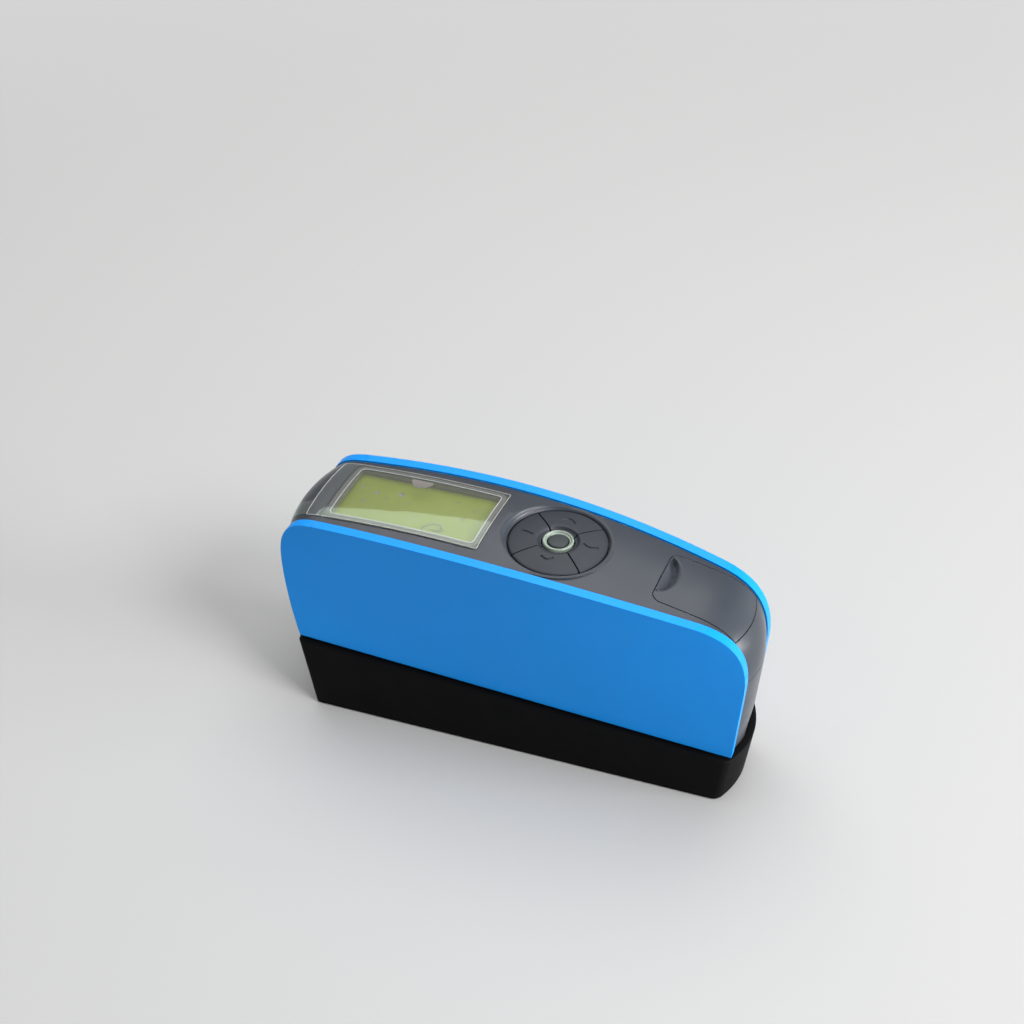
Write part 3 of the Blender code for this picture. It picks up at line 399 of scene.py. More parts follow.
clear_acrylic = clear_sheet("clear_acrylic_window", "#FAFCFC", 0.0, 0.04, 1.22)
clear_film = clear_sheet("clear_polyester_film", "#F6F9FB", 0.035, 0.05, 1.42, 9.0, 0.02)
bubble_film = clear_sheet("trapped_air_under_film", "#FDFEFE", 0.05, 0.35, 1.5)
tab_film = clear_sheet("polyester_pull_tab", "#F3E6E0", 0.12, 0.10, 1.4)
film_edge = clear_sheet("cut_polyester_edge", "#FFFFFF", 0.30, 0.20, 1.5)
lens_glass = clear_sheet("crown_glass_lens", "#EAF2F4", 0.02, 0.02)
print("finishes", len(bpy.data.materials))

# %% [markdown]
# The other finishes share one recipe: two close colours that wander into each other in
# patches of a real size, as dirt, plating and printing do.

# %% Other finishes
def speckled(name, code, other, roughness, size_mm, metallic=0.0):
    """A finish whose colour wanders between two values in patches of a real size."""
    made, tree, shader = start(name, code, roughness, metallic)
    place = add(tree, "ShaderNodeTexCoord").outputs["Object"]
    patch = add(tree, "ShaderNodeTexNoise", {"Vector": place}, Scale=1.0 / (size_mm * MM),
                Detail=3.0)
    blended(tree, patch.outputs["Fac"], linear(code), linear(other), shader.inputs["Base Color"])
    return made


pale_ring = speckled("translucent_pale_polycarbonate", "#839084", "#8E9B8F", 0.30, 3.0)
lcd_green = speckled("liquid_crystal_reflector", "#9CA02C", "#959928", 0.35, 9.0)
pale_abs = speckled("grey_brown_abs_moulded", "#7A7166", "#72695E", 0.5, 4.0)
# The pale white finish is painted highlight: light caught on the display frame's top edge, drawn
# as a band.
highlight_band_finish = speckled("painted_highlight_white", "#CBC9C2", "#C0BEB8", 0.35, 2.0)
grey_ink = speckled("grey_screen_printing_ink", "#57524D", "#5D5853", 0.35, 2.0)
black_rubber = speckled("black_nitrile_rubber_moulded", "#19191A", "#202021", 0.8, 0.6)
solder_mask = speckled("green_solder_mask_on_glass_epoxy", "#145A34", "#1B6A3F", 0.4, 1.2)
black_glass = speckled("polished_black_glass", "#050506", "#08080A", 0.03, 5.0)
plated_steel = speckled("zinc_plated_steel", "#B9BBC0", "#A7A9AE", 0.32, 0.8, 1.0)
black_anodised = speckled("black_anodised_aluminium", "#1A1A1C", "#222225", 0.48, 0.5, 0.3)
cell_sleeve = speckled("printed_cell_sleeve", "#33373D", "#3A3F46", 0.3, 6.0, 0.4)
foam_pad = speckled("closed_cell_foam", "#2B2B2D", "#3A3A3C", 0.95, 0.5)
print("finishes", len(bpy.data.materials))

# %% [markdown]
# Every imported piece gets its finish. Those with no finer shape below are shown as packed.

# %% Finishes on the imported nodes
finishes = {
    blue_abs: ("side_panel_near", "side_panel_far"),
    grey_abs: ("top_cover", "lower_housing", "battery_door", "battery_holder"),
    black_abs: ("base_tray", "base_plate"),
    grey_silicone: ("key_up", "key_down", "key_left", "key_right", "centre_button"),
    pale_ring: ("light_ring",),
    lcd_green: ("lcd_glass",),
    pale_abs: ("display_frame",),
    clear_acrylic: ("display_window",),
    clear_film: ("display_film",),
    black_rubber: ("key_sheet", "foot_strip_front", "foot_strip_rear"),
    solder_mask: ("main_board", "key_board", "source_board", "receiver_board"),
    black_glass: ("calibration_tile",),
    lens_glass: ("source_lens", "receiver_lens", "source_chip", "receiver_chip"),
    black_anodised: ("optic_block", "source_holder", "receiver_holder"),
    cell_sleeve: ("battery_cell",),
    plated_steel: ("battery_spring", "battery_contact", "tray_screw_1", "tray_screw_2",
                   "tray_screw_3", "tray_screw_4", "block_screw_1", "block_screw_2",
                   "block_screw_3", "block_screw_4"),
    foam_pad: ("tile_pad",),
}
for finish, names in finishes.items():
    for name in names:
        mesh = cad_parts[name].data
        mesh.materials.clear()
        mesh.materials.append(finish)
print("finished nodes", sum(len(names) for names in finishes.values()))

# %% [markdown]
# Each side panel is one moulding with a thick rim that shows as a bright band. The sheet is
# stretched over the outline at the inner face and grown outwards to the ruled width. Then
# the outer corner is bevelled in five steps, so that it catches a thin line of light.

# %% Side panels
RIM_EDGE = 0.9


def side_panel(sign):
    """One panel: a sheet grown to its wall thickness, with a rounded outer edge."""
    bm = side_sheet(side_outline(), lambda x, z: sign * (half_width(x, z) - PANEL_WALL))
    outer = grow(bm, lambda co: Vector((co.x, sign * half_width(co.x, co.z), co.z)))
    rim = [edge for edge in bm.edges if set(edge.verts) <= outer
           and any(not set(face.verts) <= outer for face in edge.link_faces)]
    bmesh.ops.bevel(bm, geom=rim, offset=RIM_EDGE, segments=5, profile=0.5, affect="EDGES",
                    material=-1, clamp_overlap=True)
    return shape(bm)


for name, sign in (("near", -1.0), ("far", 1.0)):
    finished(side_panel(sign), f"blue_panel_{name}", blue_abs, (f"side_panel_{name}",), angle=60.0)

# %% [markdown]
# Between the panels sits the housing. Its skin swells a little in the middle: 1.3 mm over
# the top, more at the two ends. A core is grown from one side to the other, the long edges
# are subdivided across, and each new point is lifted along the outline's outward direction.

# %% Housing core
ACROSS = 32
CROWN, REAR_CROWN, NOSE_CROWN = 1.3, 2.7, 2.0


def crown_at(way, z):
    """How far the skin swells out in its middle, by the way it faces."""
    if way.y < -0.5:
        return 0.0
    end = REAR_CROWN if way.x <= 0.0 else NOSE_CROWN * min(max(0.6 + 0.04 * z, 0.6), 1.0)
    return CROWN + (end - CROWN) * min(abs(way.x), 1.0) ** 2


def core(inset, floor):
    """The crowned body between the panels, drawn in by an inset."""
    drawn_in = RIM_STEP + inset
    wall = PANEL_WALL + SEAT_GAP + inset
    outline = shrunk(side_outline(floor - drawn_in), drawn_in)
    swell = [way.normalized() for way in ways(outline)]
    finder = KDTree(len(outline))
    for index, point in enumerate(outline):
        finder.insert((point.x, 0.0, point.y), index)
    finder.balance()
    bm = side_sheet(outline, lambda x, z: wall - half_width(x, z))
    grow(bm, lambda co: Vector((co.x, -co.y, co.z)))
    crossing = [edge for edge in bm.edges if edge.calc_length() > 12.0]
    bmesh.ops.subdivide_edges(bm, edges=crossing, cuts=ACROSS - 1, use_grid_fill=True)
    for vert in bm.verts:
        half = half_width(vert.co.x, vert.co.z) - wall
        lift = 1.0 - min(abs(vert.co.y) / half, 1.0) ** 2
        if lift > 0.001:
            way = swell[finder.find((vert.co.x, 0.0, vert.co.z))[1]]
            vert.co += Vector((way.x, 0.0, way.y)) * crown_at(way, vert.co.z) * lift
    return bm


print("crown at the rear end", crown_at(Vector((-1.0, 0.0)), 20.0), "mm")

# %% [markdown]
# Openings are cut with a few plain solids: a block, a rod, and a profile spun round the
# upright axis. Corner cutting makes a smooth profile from a few points.

# %% Cutters
def block(low, high):
    """A block between two corners."""
    bm = bmesh.new()
    size = [b - a for a, b in zip(low, high)]
    middle = [(a + b) / 2 for a, b in zip(low, high)]
    bmesh.ops.create_cube(bm, size=1.0,
                          matrix=Matrix.Translation(middle) @ Matrix.Diagonal((*size, 1.0)))
    return bm


def rod(radius, low, high, centre=(0.0, 0.0), sides=96):
    """An upright cylinder."""
    bm = bmesh.new()
    bmesh.ops.create_cone(bm, cap_ends=True, segments=sides, radius1=radius, radius2=radius,
                          depth=high - low, matrix=Matrix.Translation((*centre, (low + high) / 2)))
    return bm


def rounded(points, rounds=2):
    """Chaikin's corner cutting: a smooth line through the middle of each span."""
    for _ in range(rounds):
        cut = [points[0]]
        for (r0, z0), (r1, z1) in zip(points, points[1:]):
            cut += [(r0 * 0.75 + r1 * 0.25, z0 * 0.75 + z1 * 0.25),
                    (r0 * 0.25 + r1 * 0.75, z0 * 0.25 + z1 * 0.75)]
        points = cut + [points[-1]]
    return points


def turned(profile, closed=False):
    """Spin a profile of radius and height round Z; a closed one leaves a bore."""
    bm = bmesh.new()
    verts = [bm.verts.new((radius, 0.0, height)) for radius, height in profile]
    pairs = list(zip(verts, verts[1:])) + ([(verts[-1], verts[0])] if closed else [])
    edges = [bm.edges.new(pair) for pair in pairs]
    bmesh.ops.spin(bm, geom=verts + edges, cent=(0, 0, 0), axis=(0, 0, 1), angle=math.tau,
                   steps=128, use_merge=True)
    bmesh.ops.remove_doubles(bm, verts=bm.verts, dist=0.0005)
    return bm


REACH, PARTING_Z = 120.0, 29.5
INSIDE = (2.0, -3.45)  # the wall and the floor of the space inside the shells
print("parting line at", PARTING_Z, "mm")

# %% [markdown]
# Openings follow the skin, so their cutters are patches of the skin itself. A place on the
# skin is a distance along the outline, a distance across and a depth. The same patch makes
# the battery door, the window and the film, so that each lies flush with the housing.

# %% Places on the skin
skin = shrunk(side_outline(-1.0), RIM_STEP)
skin_points, skin_ways = skin[:TOP + 1], [way.normalized() for way in ways(skin)][:TOP + 1]
skin_runs = [0.0]
for before, after in zip(skin_points, skin_points[1:]):
    skin_runs.append(skin_runs[-1] + (after - before).length)


def run_at(x):
    """Distance along the skin at this X."""
    for index in range(TOP):
        low, high = skin_points[index].x, skin_points[index + 1].x
        if low <= x <= high and high > low:
            step = skin_runs[index + 1] - skin_runs[index]
            return skin_runs[index] + (x - low) / (high - low) * step
    return skin_runs[-1]


def on_skin(run, y, depth):
    """A point at a depth under the skin."""
    index = max(i for i in range(TOP) if skin_runs[i] <= max(run, 0.0))
    share = (run - skin_runs[index]) / (skin_runs[index + 1] - skin_runs[index])
    point = skin_points[index].lerp(skin_points[index + 1], share)
    way = skin_ways[index].lerp(skin_ways[index + 1], share).normalized()
    half = half_width(point.x, point.y) - PANEL_WALL - SEAT_GAP
    rise = crown_at(way, point.y) * (1.0 - min((y / half) ** 2, 1.0)) - depth
    return (point.x + way.x * rise, y, point.y + way.y * rise)


def turns(corner):
    """How far each step round a corner lies from the end, and from the side."""
    if not corner:
        return []
    angles = [math.pi / 2 * step / 10 for step in range(10)]
    return [(corner * (1 - math.cos(a)), corner * (1 - math.sin(a))) for a in angles]


def skin_patch(start, end, half, outer, inner, corner=0.0, nose=None, bow=0.0, spans=48,
               across=24, y=0.0, press=None):
    """A piece of skin between two runs and two depths; `bow` rounds its front end, and
    `press` pushes it in at a place."""
    nose = corner if nose is None else nose
    stations = [(start + reach, half - loss) for reach, loss in turns(corner)]
    first, last = start + corner, end - nose
    stations += [(first + (last - first) * step / spans, half) for step in range(spans + 1)]
    stations += [(end - reach, half - loss) for reach, loss in reversed(turns(nose))]
    middle = (start + end) / 2
    bm = bmesh.new()
    bmesh.ops.create_grid(bm, x_segments=len(stations) - 1, y_segments=across, size=1.0)
    lifted = {}
    for vert in bm.verts:
        run, width = stations[round((vert.co.x + 1) / 2 * (len(stations) - 1))]
        side = width * vert.co.y
        share = max((run - middle) / (end - middle), 0.0)
        deep = press(run - start, side) if press else 0.0
        run += bow * share ** 2 * (1 - (side / half) ** 2)
        vert.co = on_skin(run, y + side, inner + deep)
        lifted[vert.co.to_tuple()] = on_skin(run, y + side, outer + deep)
    grow(bm, lambda co: Vector(lifted[co.to_tuple()]))
    return bm


DISPLAY = (run_at(-65.7), run_at(-17.9))
DISPLAY_HALF, DISPLAY_FRAME, WINDOW_THICK, WINDOW_LEDGE = 12.2, 0.9, 0.6, 1.1
DOOR_HALF, DOOR_THICK, DOOR_CORNER, DOOR_NOSE, DOOR_BOW = 10.9, 2.2, 3.0, 0.5, 1.3
DOOR = (run_at(38.3), run_at(66.1) - DOOR_BOW)


def display_patch(margin, corner, outer, inner):
    """A patch over the display, wider by a margin all round."""
    return skin_patch(DISPLAY[0] - margin, DISPLAY[1] + margin, DISPLAY_HALF + margin, outer,
                      inner, corner)


def door_patch(margin, outer, inner, **more):
    """A patch over the battery door, with its bowed front edge."""
    return skin_patch(DOOR[0] - margin, DOOR[1] + margin, DOOR_HALF + margin, outer, inner,
                      DOOR_CORNER + margin, DOOR_NOSE + margin, DOOR_BOW, **more)


print("skin length over the top", round(skin_runs[-1], 1), "mm")

# %% [markdown]
# The top cover is the core with everything cut out of it that a mould would leave open: its
# own inside, the round keypad recess, the window's rebate and opening, and the door. The
# recess wall is spun from a profile with a soft step in it, which mirrors two pale arcs.

# %% Top cover
KEY_RADIUS, KEY_THICK = 15.2, 2.2
hole = KEY_RADIUS + 0.4
wall = [(0.0, -0.2), (0.07, -0.03), (0.2, 0.05), (0.3, 0.33), (0.42, 0.42), (0.54, 0.67),
        (0.73, 0.87), (1.0, 1.0), (1.4, 1.06)]
bowl = [(hole + 2.4 * out, 2.0 * up) for out, up in wall]
bowl = [(0.0, -12.0), (hole, -12.0)] + rounded(bowl) + [(bowl[-1][0], 8.0), (0.0, 8.0)]
cover = shape(core(0.0, 0.0))
combine(cover, shape(core(*INSIDE)))
combine(cover, shape(rod(KEY_RADIUS + 1.9, -KEY_THICK - 1.0, 0.2), KEYS), "UNION")
combine(cover, shape(block((-REACH, -REACH, -REACH), (REACH, REACH, PARTING_Z + SEAT_GAP / 2))))
combine(cover, shape(turned(bowl), KEYS))
margin = DISPLAY_FRAME + SEAT_GAP
combine(cover, shape(display_patch(margin + WINDOW_LEDGE, 1.6, -2.0, WINDOW_THICK + SEAT_GAP / 2)))
combine(cover, shape(display_patch(margin, 0.0, -2.0, 6.0)))
combine(cover, shape(door_patch(SEAT_GAP, -2.0, DOOR_THICK + 1.6)))
finished(cover, "cover_shell", grey_abs, ("top_cover",))

# %% [markdown]
# The lower housing carries on below the parting line, with a foot that drops into the tray.
# Inside it is hollow, and a slot in its floor lets the light beams reach the surface.

# %% Tray outline and lower housing
TRAY_RIM_Z, TRAY_WALL, TRAY_FLOOR, HOUSING_FLOOR_Z = -1.1, 2.2, 2.5, -9.5
REAR_BOW, FRONT_BOW, TRAY_OUT, FRONT_IN = -2.5, 3.9, 1.6, 0.6
CORNER_RUN, CORNER_SIDE, KNEE_IN, KNEE_SHARE = 1.6, 1.4, 0.25, 0.995
SCREWS = [(x, y) for x in (-38.0, 38.0) for y in (-6.0, 6.0)]


def tray_loop(z, inset):
    """The tray's outline in plan at one height: bowed ends, straight sides, round corners."""
    rear = FOOT_REAR - (z - TRAY_RIM_Z) * REAR_SLOPE + inset
    front = FOOT_FRONT - FRONT_IN + (z - TRAY_RIM_Z) * FRONT_SLOPE - inset

    def half(x):
        """Half the tray's width."""
        return FOOT_HALF - FOOT_TAPER * x + TRAY_OUT - inset

    loop = []
    for end, other, bow, other_bow, sign in ((rear, front, REAR_BOW, FRONT_BOW, 1.0),
                                             (front, rear, FRONT_BOW, REAR_BOW, -1.0)):
        into = math.copysign(1.0, -bow)
        share = 1.0 - CORNER_SIDE / half(end)
        for step in range(33):
            across = sign * share * (-1.0 + step / 16)
            loop.append(Vector((end + bow * (1 - across ** 2), across * half(end), z)))
        near, far = end + into * CORNER_RUN, other - into * CORNER_RUN
        first, edge = loop[-1], Vector((near, sign * half(near), z))
        knee = Vector((end + into * KNEE_IN, sign * half(end) * KNEE_SHARE, z))
        loop += [first.lerp(knee, s).lerp(knee.lerp(edge, s), s) for s in (0.2, 0.4, 0.6, 0.8)]
        for step in range(24):
            x = edge.x + (far - edge.x) * step / 24
            loop.append(Vector((x, sign * half(x), z)))
        last = Vector((far, sign * half(far), z))
        turn_knee = Vector((other - into * KNEE_IN, sign * half(other) * KNEE_SHARE, z))
        share = 1.0 - CORNER_SIDE / half(other)
        landing = Vector((other + other_bow * (1 - share ** 2), sign * share * half(other), z))
        loop += [last.lerp(turn_knee, s).lerp(turn_knee.lerp(landing, s), s)
                 for s in (0.0, 0.2, 0.4, 0.6, 0.8)]
    return loop


def loft(loops):
    """Carry a ring through loops of points and close both ends."""
    bm = bmesh.new()
    ring = bmesh.ops.create_circle(bm, segments=len(loops[0]), radius=1.0)["verts"]
    foot = edges = list(bm.edges)
    for number, loop in enumerate(loops):
        if number:
            order = {vert.co.to_tuple(): index for index, vert in enumerate(ring)}
            made = bmesh.ops.extrude_edge_only(bm, edges=edges)["geom"]
            fresh = [item for item in made if isinstance(item, bmesh.types.BMVert)]
            edges = [item for item in made if isinstance(item, bmesh.types.BMEdge)]
            ring = sorted(fresh, key=lambda vert: order[vert.co.to_tuple()])
        for vert, place in zip(ring, loop):
            vert.co = place
    bmesh.ops.holes_fill(bm, edges=foot + edges, sides=0)
    return bm


def tray_solid(low, high, inset, edge=0.0):
    """The plan outline carried between two heights, with a rounded upper edge."""
    angles = [math.pi / 2 * step / 4 for step in range(5)] if edge else [0.0]
    levels = [(high - edge * (1 - math.sin(a)), inset + edge * (1 - math.cos(a))) for a in angles]
    return loft([tray_loop(low, inset)] + [tray_loop(z, drawn) for z, drawn in levels])


housing = shape(core(0.0, TRAY_RIM_Z + SEAT_GAP))
combine(housing, shape(block((-REACH, -REACH, PARTING_Z - SEAT_GAP / 2), (REACH, REACH, REACH))))
foot_in = TRAY_WALL + SEAT_GAP
combine(housing, shape(tray_solid(HOUSING_FLOOR_Z, -0.45, foot_in)), "UNION")
combine(housing, shape(core(*INSIDE)))
combine(housing, shape(tray_solid(HOUSING_FLOOR_Z + 2.0, -2.45, foot_in + 2.0)))
combine(housing, shape(block((-13.0, -4.5, -14.0), (13.0, 4.5, -6.0))))
for spot in SCREWS:
    combine(housing, shape(rod(1.5, -14.0, -6.0, spot, 32)))
    combine(housing, shape(rod(2.7, -14.0, -8.4, spot, 32)))
finished(housing, "housing_shell", grey_abs, ("lower_housing",))

# %% [markdown]
# The calibration tray is a deep moulding with a rounded rim. Its walls follow the housing's
# foot, its underside is cut level so that it stands flat, and four bosses take the screws
# of the base plate. The black glass standard lies in a pocket in its floor.

# %% Tray
BELOW, LEVEL_Z = -30.0, 0.6
BOSSES = ((-42.0, 12.5), (-42.0, -12.5), (42.0, 9.0), (42.0, -9.0))

floor_top = HOUSING_FLOOR_Z - SEAT_GAP
tray = shape(tray_solid(BELOW, TRAY_RIM_Z, 0.0, 0.5))
combine(tray, shape(block((-REACH, -REACH, -REACH), (REACH, REACH, LEVEL_Z)), SLIDE))
combine(tray, shape(tray_solid(floor_top, 5.0, TRAY_WALL)))
combine(tray, shape(block((-19.3, -11.3, floor_top - 6.0), (19.3, 11.3, floor_top + 2.0))))
combine(tray, shape(tray_solid(BELOW, floor_top - TRAY_FLOOR, TRAY_WALL)))
for x, y in BOSSES:
    top = STAND_HEIGHT + (floor_top - TRAY_FLOOR) / math.cos(LEAN) - x * math.tan(LEAN) + 1.0
    combine(tray, shape(rod(3.2, 3.9, top, (x, y), 48), SLIDE), "UNION")
    combine(tray, shape(rod(1.6, 3.6, 6.8, (x, y), 32), SLIDE))
finished(tray, "tray_shell", black_abs, ("base_tray",))

# %% [markdown]
# The battery door is a fine patch of the same skin, pressed in at its rear edge to a thumb
# scoop. The scoop is deepest under its curved front lip and shallow at the edge, so a
# thumb nail slides down and pushes on a wall. The press is a plain function of the place.

# %% Battery door
SCOOP_HALF, SCOOP_Y = 8.2, 0.8


def scoop(run, side):
    """Depth of the thumb scoop at a distance from the rear edge and from the middle."""
    side = abs(side - SCOOP_Y) / SCOOP_HALF
    bow = math.sqrt(max(1.0 - side ** 2, 0.0))
    toe, wall, lip = 3.2 * bow, 4.1 * bow, 5.6 * bow
    fade = min(bow * 1.7, 1.0)
    deep, shelf = (0.6 + 1.7 * min(run / max(toe, 0.1), 1.0)) * fade, 0.5 * fade
    if run <= toe:
        return deep
    if run <= wall:
        return deep + (shelf - deep) * (run - toe) / (wall - toe)
    return shelf * (1.0 - (run - wall) / (lip - wall)) ** 1.7 if run < lip else 0.0


door = shape(door_patch(0.0, 0.0, 3.4, spans=96, across=72, press=scoop))
finished(door, "door_skin", grey_abs, ("battery_door",), "battery_door", 40.0)

# %% [markdown]
# The display is a stack. A thin frame stands round the glass, a grey border is printed on
# the window, a pale band along its inner edge is painted highlight for the light on the
# frame's top edge, and the window and the protective film lie over everything. The film has a pull
# tab and small bubbles, as a new one does.

# %% Display frame and glass
GLASS_TOP, GLASS_FOOT, GLASS_SIZE = -3.6, -5.6, (24.8, 13.1)

surround = shape(display_patch(DISPLAY_FRAME, 0.0, WINDOW_THICK + 0.15, 8.0))
combine(surround, shape(display_patch(0.0, 0.0, -1.0, 12.0)))
middle = sum(DISPLAY) / 2
centre = Vector(on_skin(middle, 0.0, 0.0))
along = Vector(on_skin(middle + 1.0, 0.0, 0.0)) - centre
tilt = math.atan2(along.z, along.x)
GLASS = METER @ Matrix.Translation(centre) @ Matrix.Rotation(-tilt, 4, "Y")
combine(surround, shape(block((-REACH, -REACH, -REACH), (REACH, REACH, -3.3)), GLASS))
finished(surround, "display_surround", pale_abs, ("display_frame",))

bm = block((-GLASS_SIZE[0], -GLASS_SIZE[1], GLASS_FOOT), (*GLASS_SIZE, GLASS_TOP))
bmesh.ops.bevel(bm, geom=list(bm.edges), offset=0.2, segments=2, profile=0.5, affect="EDGES",
                material=-1)
finished(shape(bm, GLASS), "liquid_crystal_glass", lcd_green, ("lcd_glass",))


def band(name, start, end, half, corner, width, outer, inner, finish, centre_y=0.0):
    """A thin band that follows the skin along a rounded rectangle, for print, painted highlight
    and cut edges.
    """
    made = shape(skin_patch(start - width, end + width, half + width, outer, inner,
                            corner + width, spans=40, across=20, y=centre_y))
    combine(made, shape(skin_patch(start, end, half, outer - 1.0, inner + 1.0, corner,
                                   spans=40, across=20, y=centre_y)))
    finished(made, name, finish, angle=40.0)


window = shape(display_patch(DISPLAY_FRAME + WINDOW_LEDGE, 1.3, 0.0, WINDOW_THICK - 0.15))
finished(window, "window_sheet", clear_acrylic, ("display_window",))
LINE = (run_at(-65.4), run_at(-17.9))
LINE_WIDE, LINE_HALF, LINE_CORNER, LINE_Y = 0.28, 12.0, 1.3, 0.2
# Painted highlight: a pale band that stands for light caught on the frame's top edge. It is not a
# printed line.
band("printed_white_line", *LINE, LINE_HALF, LINE_CORNER, LINE_WIDE, -0.02, 0.06, highlight_band_finish,
     LINE_Y)
band("printed_grey_border", LINE[0] - LINE_WIDE, LINE[1] + LINE_WIDE, LINE_HALF + LINE_WIDE,
     LINE_CORNER + LINE_WIDE, 1.36, -0.015, 0.05, grey_ink, LINE_Y)

# %% [markdown]
# The film is a sheet 0.15 mm thick that lies on the window. It is a patch of skin too, with
# the round pull tab joined to it. Its cut edge shows as a thin pale line.

# %% Protective film
FILM_HALF, FILM_TOP, FILM_UNDER = 14.1, -0.45, -0.3
TAB_LONG, TAB_HALF, TAB_Y, CUT = 7.0, 3.0, -10.8, 0.16

film_run = (run_at(-72.2), run_at(-15.6))
film = shape(skin_patch(*film_run, FILM_HALF, FILM_TOP, FILM_UNDER, 0.6, spans=56, across=28))
combine(film, shape(skin_patch(film_run[0] - TAB_LONG, film_run[0] + 1.0, TAB_HALF, FILM_TOP,
                               FILM_UNDER, 2.4, 0.0, spans=8, across=6, y=TAB_Y)), "UNION")
finished(film, "film_sheet", clear_film, ("display_film",))
band("film_cut_edge", film_run[0] + CUT, film_run[1] - CUT, FILM_HALF - CUT, 0.5, CUT,
     FILM_TOP - 0.02, FILM_UNDER + 0.01, film_edge)

# %% [markdown]
# Film that is laid on by hand keeps small air bubbles and a crease that wanders. They are
# flat beads on the film, since only their outline shows. A second tab, cut from a thin
# disc, lies at the far edge.

# %% Bubbles, crease and second tab
BEAD_SIDES, BEAD_DEPTH = 14, -0.46
SECOND_TAB_X, SECOND_TAB_Y, SECOND_TAB_RADIUS = -43.6, 10.4, 3.6


def swept(line, radius, flat=1.0):
    """A round bead swept along a line of points, flattened upwards by a share."""
    loops = []
    for index, spot in enumerate(line):
        way = (line[min(index + 1, len(line) - 1)] - line[max(index - 1, 0)]).normalized()
        side = way.cross(Vector((0.0, 0.0, 1.0))).normalized()
        up = side.cross(way) * flat
        angles = [math.tau * turn / BEAD_SIDES for turn in range(BEAD_SIDES)]
        loops.append([spot + (side * math.cos(a) + up * math.sin(a)) * radius for a in angles])
    return loft(loops)


def spaced(points, steps):
    """A bent line with more points along it."""
    line = []
    for (x0, y0), (x1, y1) in zip(points, points[1:]):
        line += [(x0 + (x1 - x0) * step / steps, y0 + (y1 - y0) * step / steps)
                 for step in range(steps)]
    return line + [points[-1]]


bm = bmesh.new()
for x, y, radius in ((-54.6, 0.1, 0.7), (-47.0, 1.3, 0.9), (-57.1, -4.8, 0.6), (-38.7, -7.3, 0.5),
                     (-28.8, 3.4, 0.5), (-24.4, -3.8, 0.6), (-50.6, -1.6, 0.35), (-60.2, 2.2, 0.5),
                     (-43.1, -2.0, 0.35), (-22.6, 1.2, 0.4), (-31.9, -6.4, 0.4)):
    flat = Matrix.Translation(on_skin(run_at(x), y, BEAD_DEPTH)) @ Matrix.Diagonal((1, 1, 0.12, 1))
    bmesh.ops.create_uvsphere(bm, u_segments=20, v_segments=10, radius=radius, matrix=flat)
finished(shape(bm), "air_bubbles", bubble_film, angle=180.0)
crease = [Vector(on_skin(run_at(x), y, BEAD_DEPTH)) for x, y in spaced(
    [(-35.1, -13.2), (-34.3, -10.6), (-32.5, -8.6), (-29.8, -8.7), (-28.1, -10.5), (-30.4, -11.4),
     (-32.2, -10.9)], 5)]
finished(shape(swept(crease, 0.32, 0.3)), "film_crease", bubble_film, angle=180.0)
bm = bmesh.new()
spot = on_skin(run_at(SECOND_TAB_X), SECOND_TAB_Y, -0.5)
bmesh.ops.create_cone(bm, cap_ends=True, segments=64, radius1=SECOND_TAB_RADIUS,
                      radius2=SECOND_TAB_RADIUS, depth=0.08,
                      matrix=Matrix.Translation(spot) @ Matrix.Rotation(-tilt, 4, "Y"))
bmesh.ops.bisect_plane(bm, geom=bm.verts[:] + bm.edges[:] + bm.faces[:], clear_outer=True,
                       plane_co=(0.0, SECOND_TAB_Y, 0.0), plane_no=(0.0, 1.0, 0.0))
bmesh.ops.holes_fill(bm, edges=[edge for edge in bm.edges if edge.is_boundary], sides=0)
finished(shape(bm), "film_second_tab", tab_film)
for name in ("air_bubbles", "film_crease", "film_second_tab", "film_cut_edge"):
    bpy.data.objects[name].visible_shadow = False

# %% [markdown]
# The four keys are quarters of one turned pad, split by two straight gaps at 45 degrees.
# Each is spun from a closed section over a little more than its share, cut back along the
# two gaps and closed again. Its mark is engraved by a rod swept along a short bent line.

# %% Keys
PEAK, DISH, INNER = 0.9, 1.0, 5.2
GAP_HALF, SPIN, SPIN_STEPS, MARK_DEPTH = 0.225, 100.0, 72, 0.42

section = [(INNER, PEAK - DISH), (INNER + 0.5, PEAK - DISH * 0.95), (INNER + 0.9, PEAK - 0.62),
           (INNER + 1.25, PEAK - 0.12), (INNER + 1.6, PEAK), (INNER + 2.4, PEAK),
           (11.0, PEAK * 0.72), (13.2, PEAK * 0.38), (KEY_RADIUS - 0.5, 0.05),
           (KEY_RADIUS - 0.1, -0.2), (KEY_RADIUS, -0.5)]
section = rounded(section) + [(KEY_RADIUS, -KEY_THICK), (INNER, -KEY_THICK)]


def key_height(radius):
    """Height of the key's top at a distance from the middle."""
    for (r0, z0), (r1, z1) in zip(section, section[1:]):
        if r0 <= radius <= r1 and r1 > r0:
            return z0 + (z1 - z0) * (radius - r0) / (r1 - r0)
    return 0.0


def groove(points, width, depth):
    """A round cutter swept along a bent line, sunk a little into the key's top."""
    line = [Vector((x, y, key_height(math.hypot(x, y)) + width / 2 - depth))
            for x, y in rounded(points, 3)]
    return shape(swept(line, width / 2), KEYS)


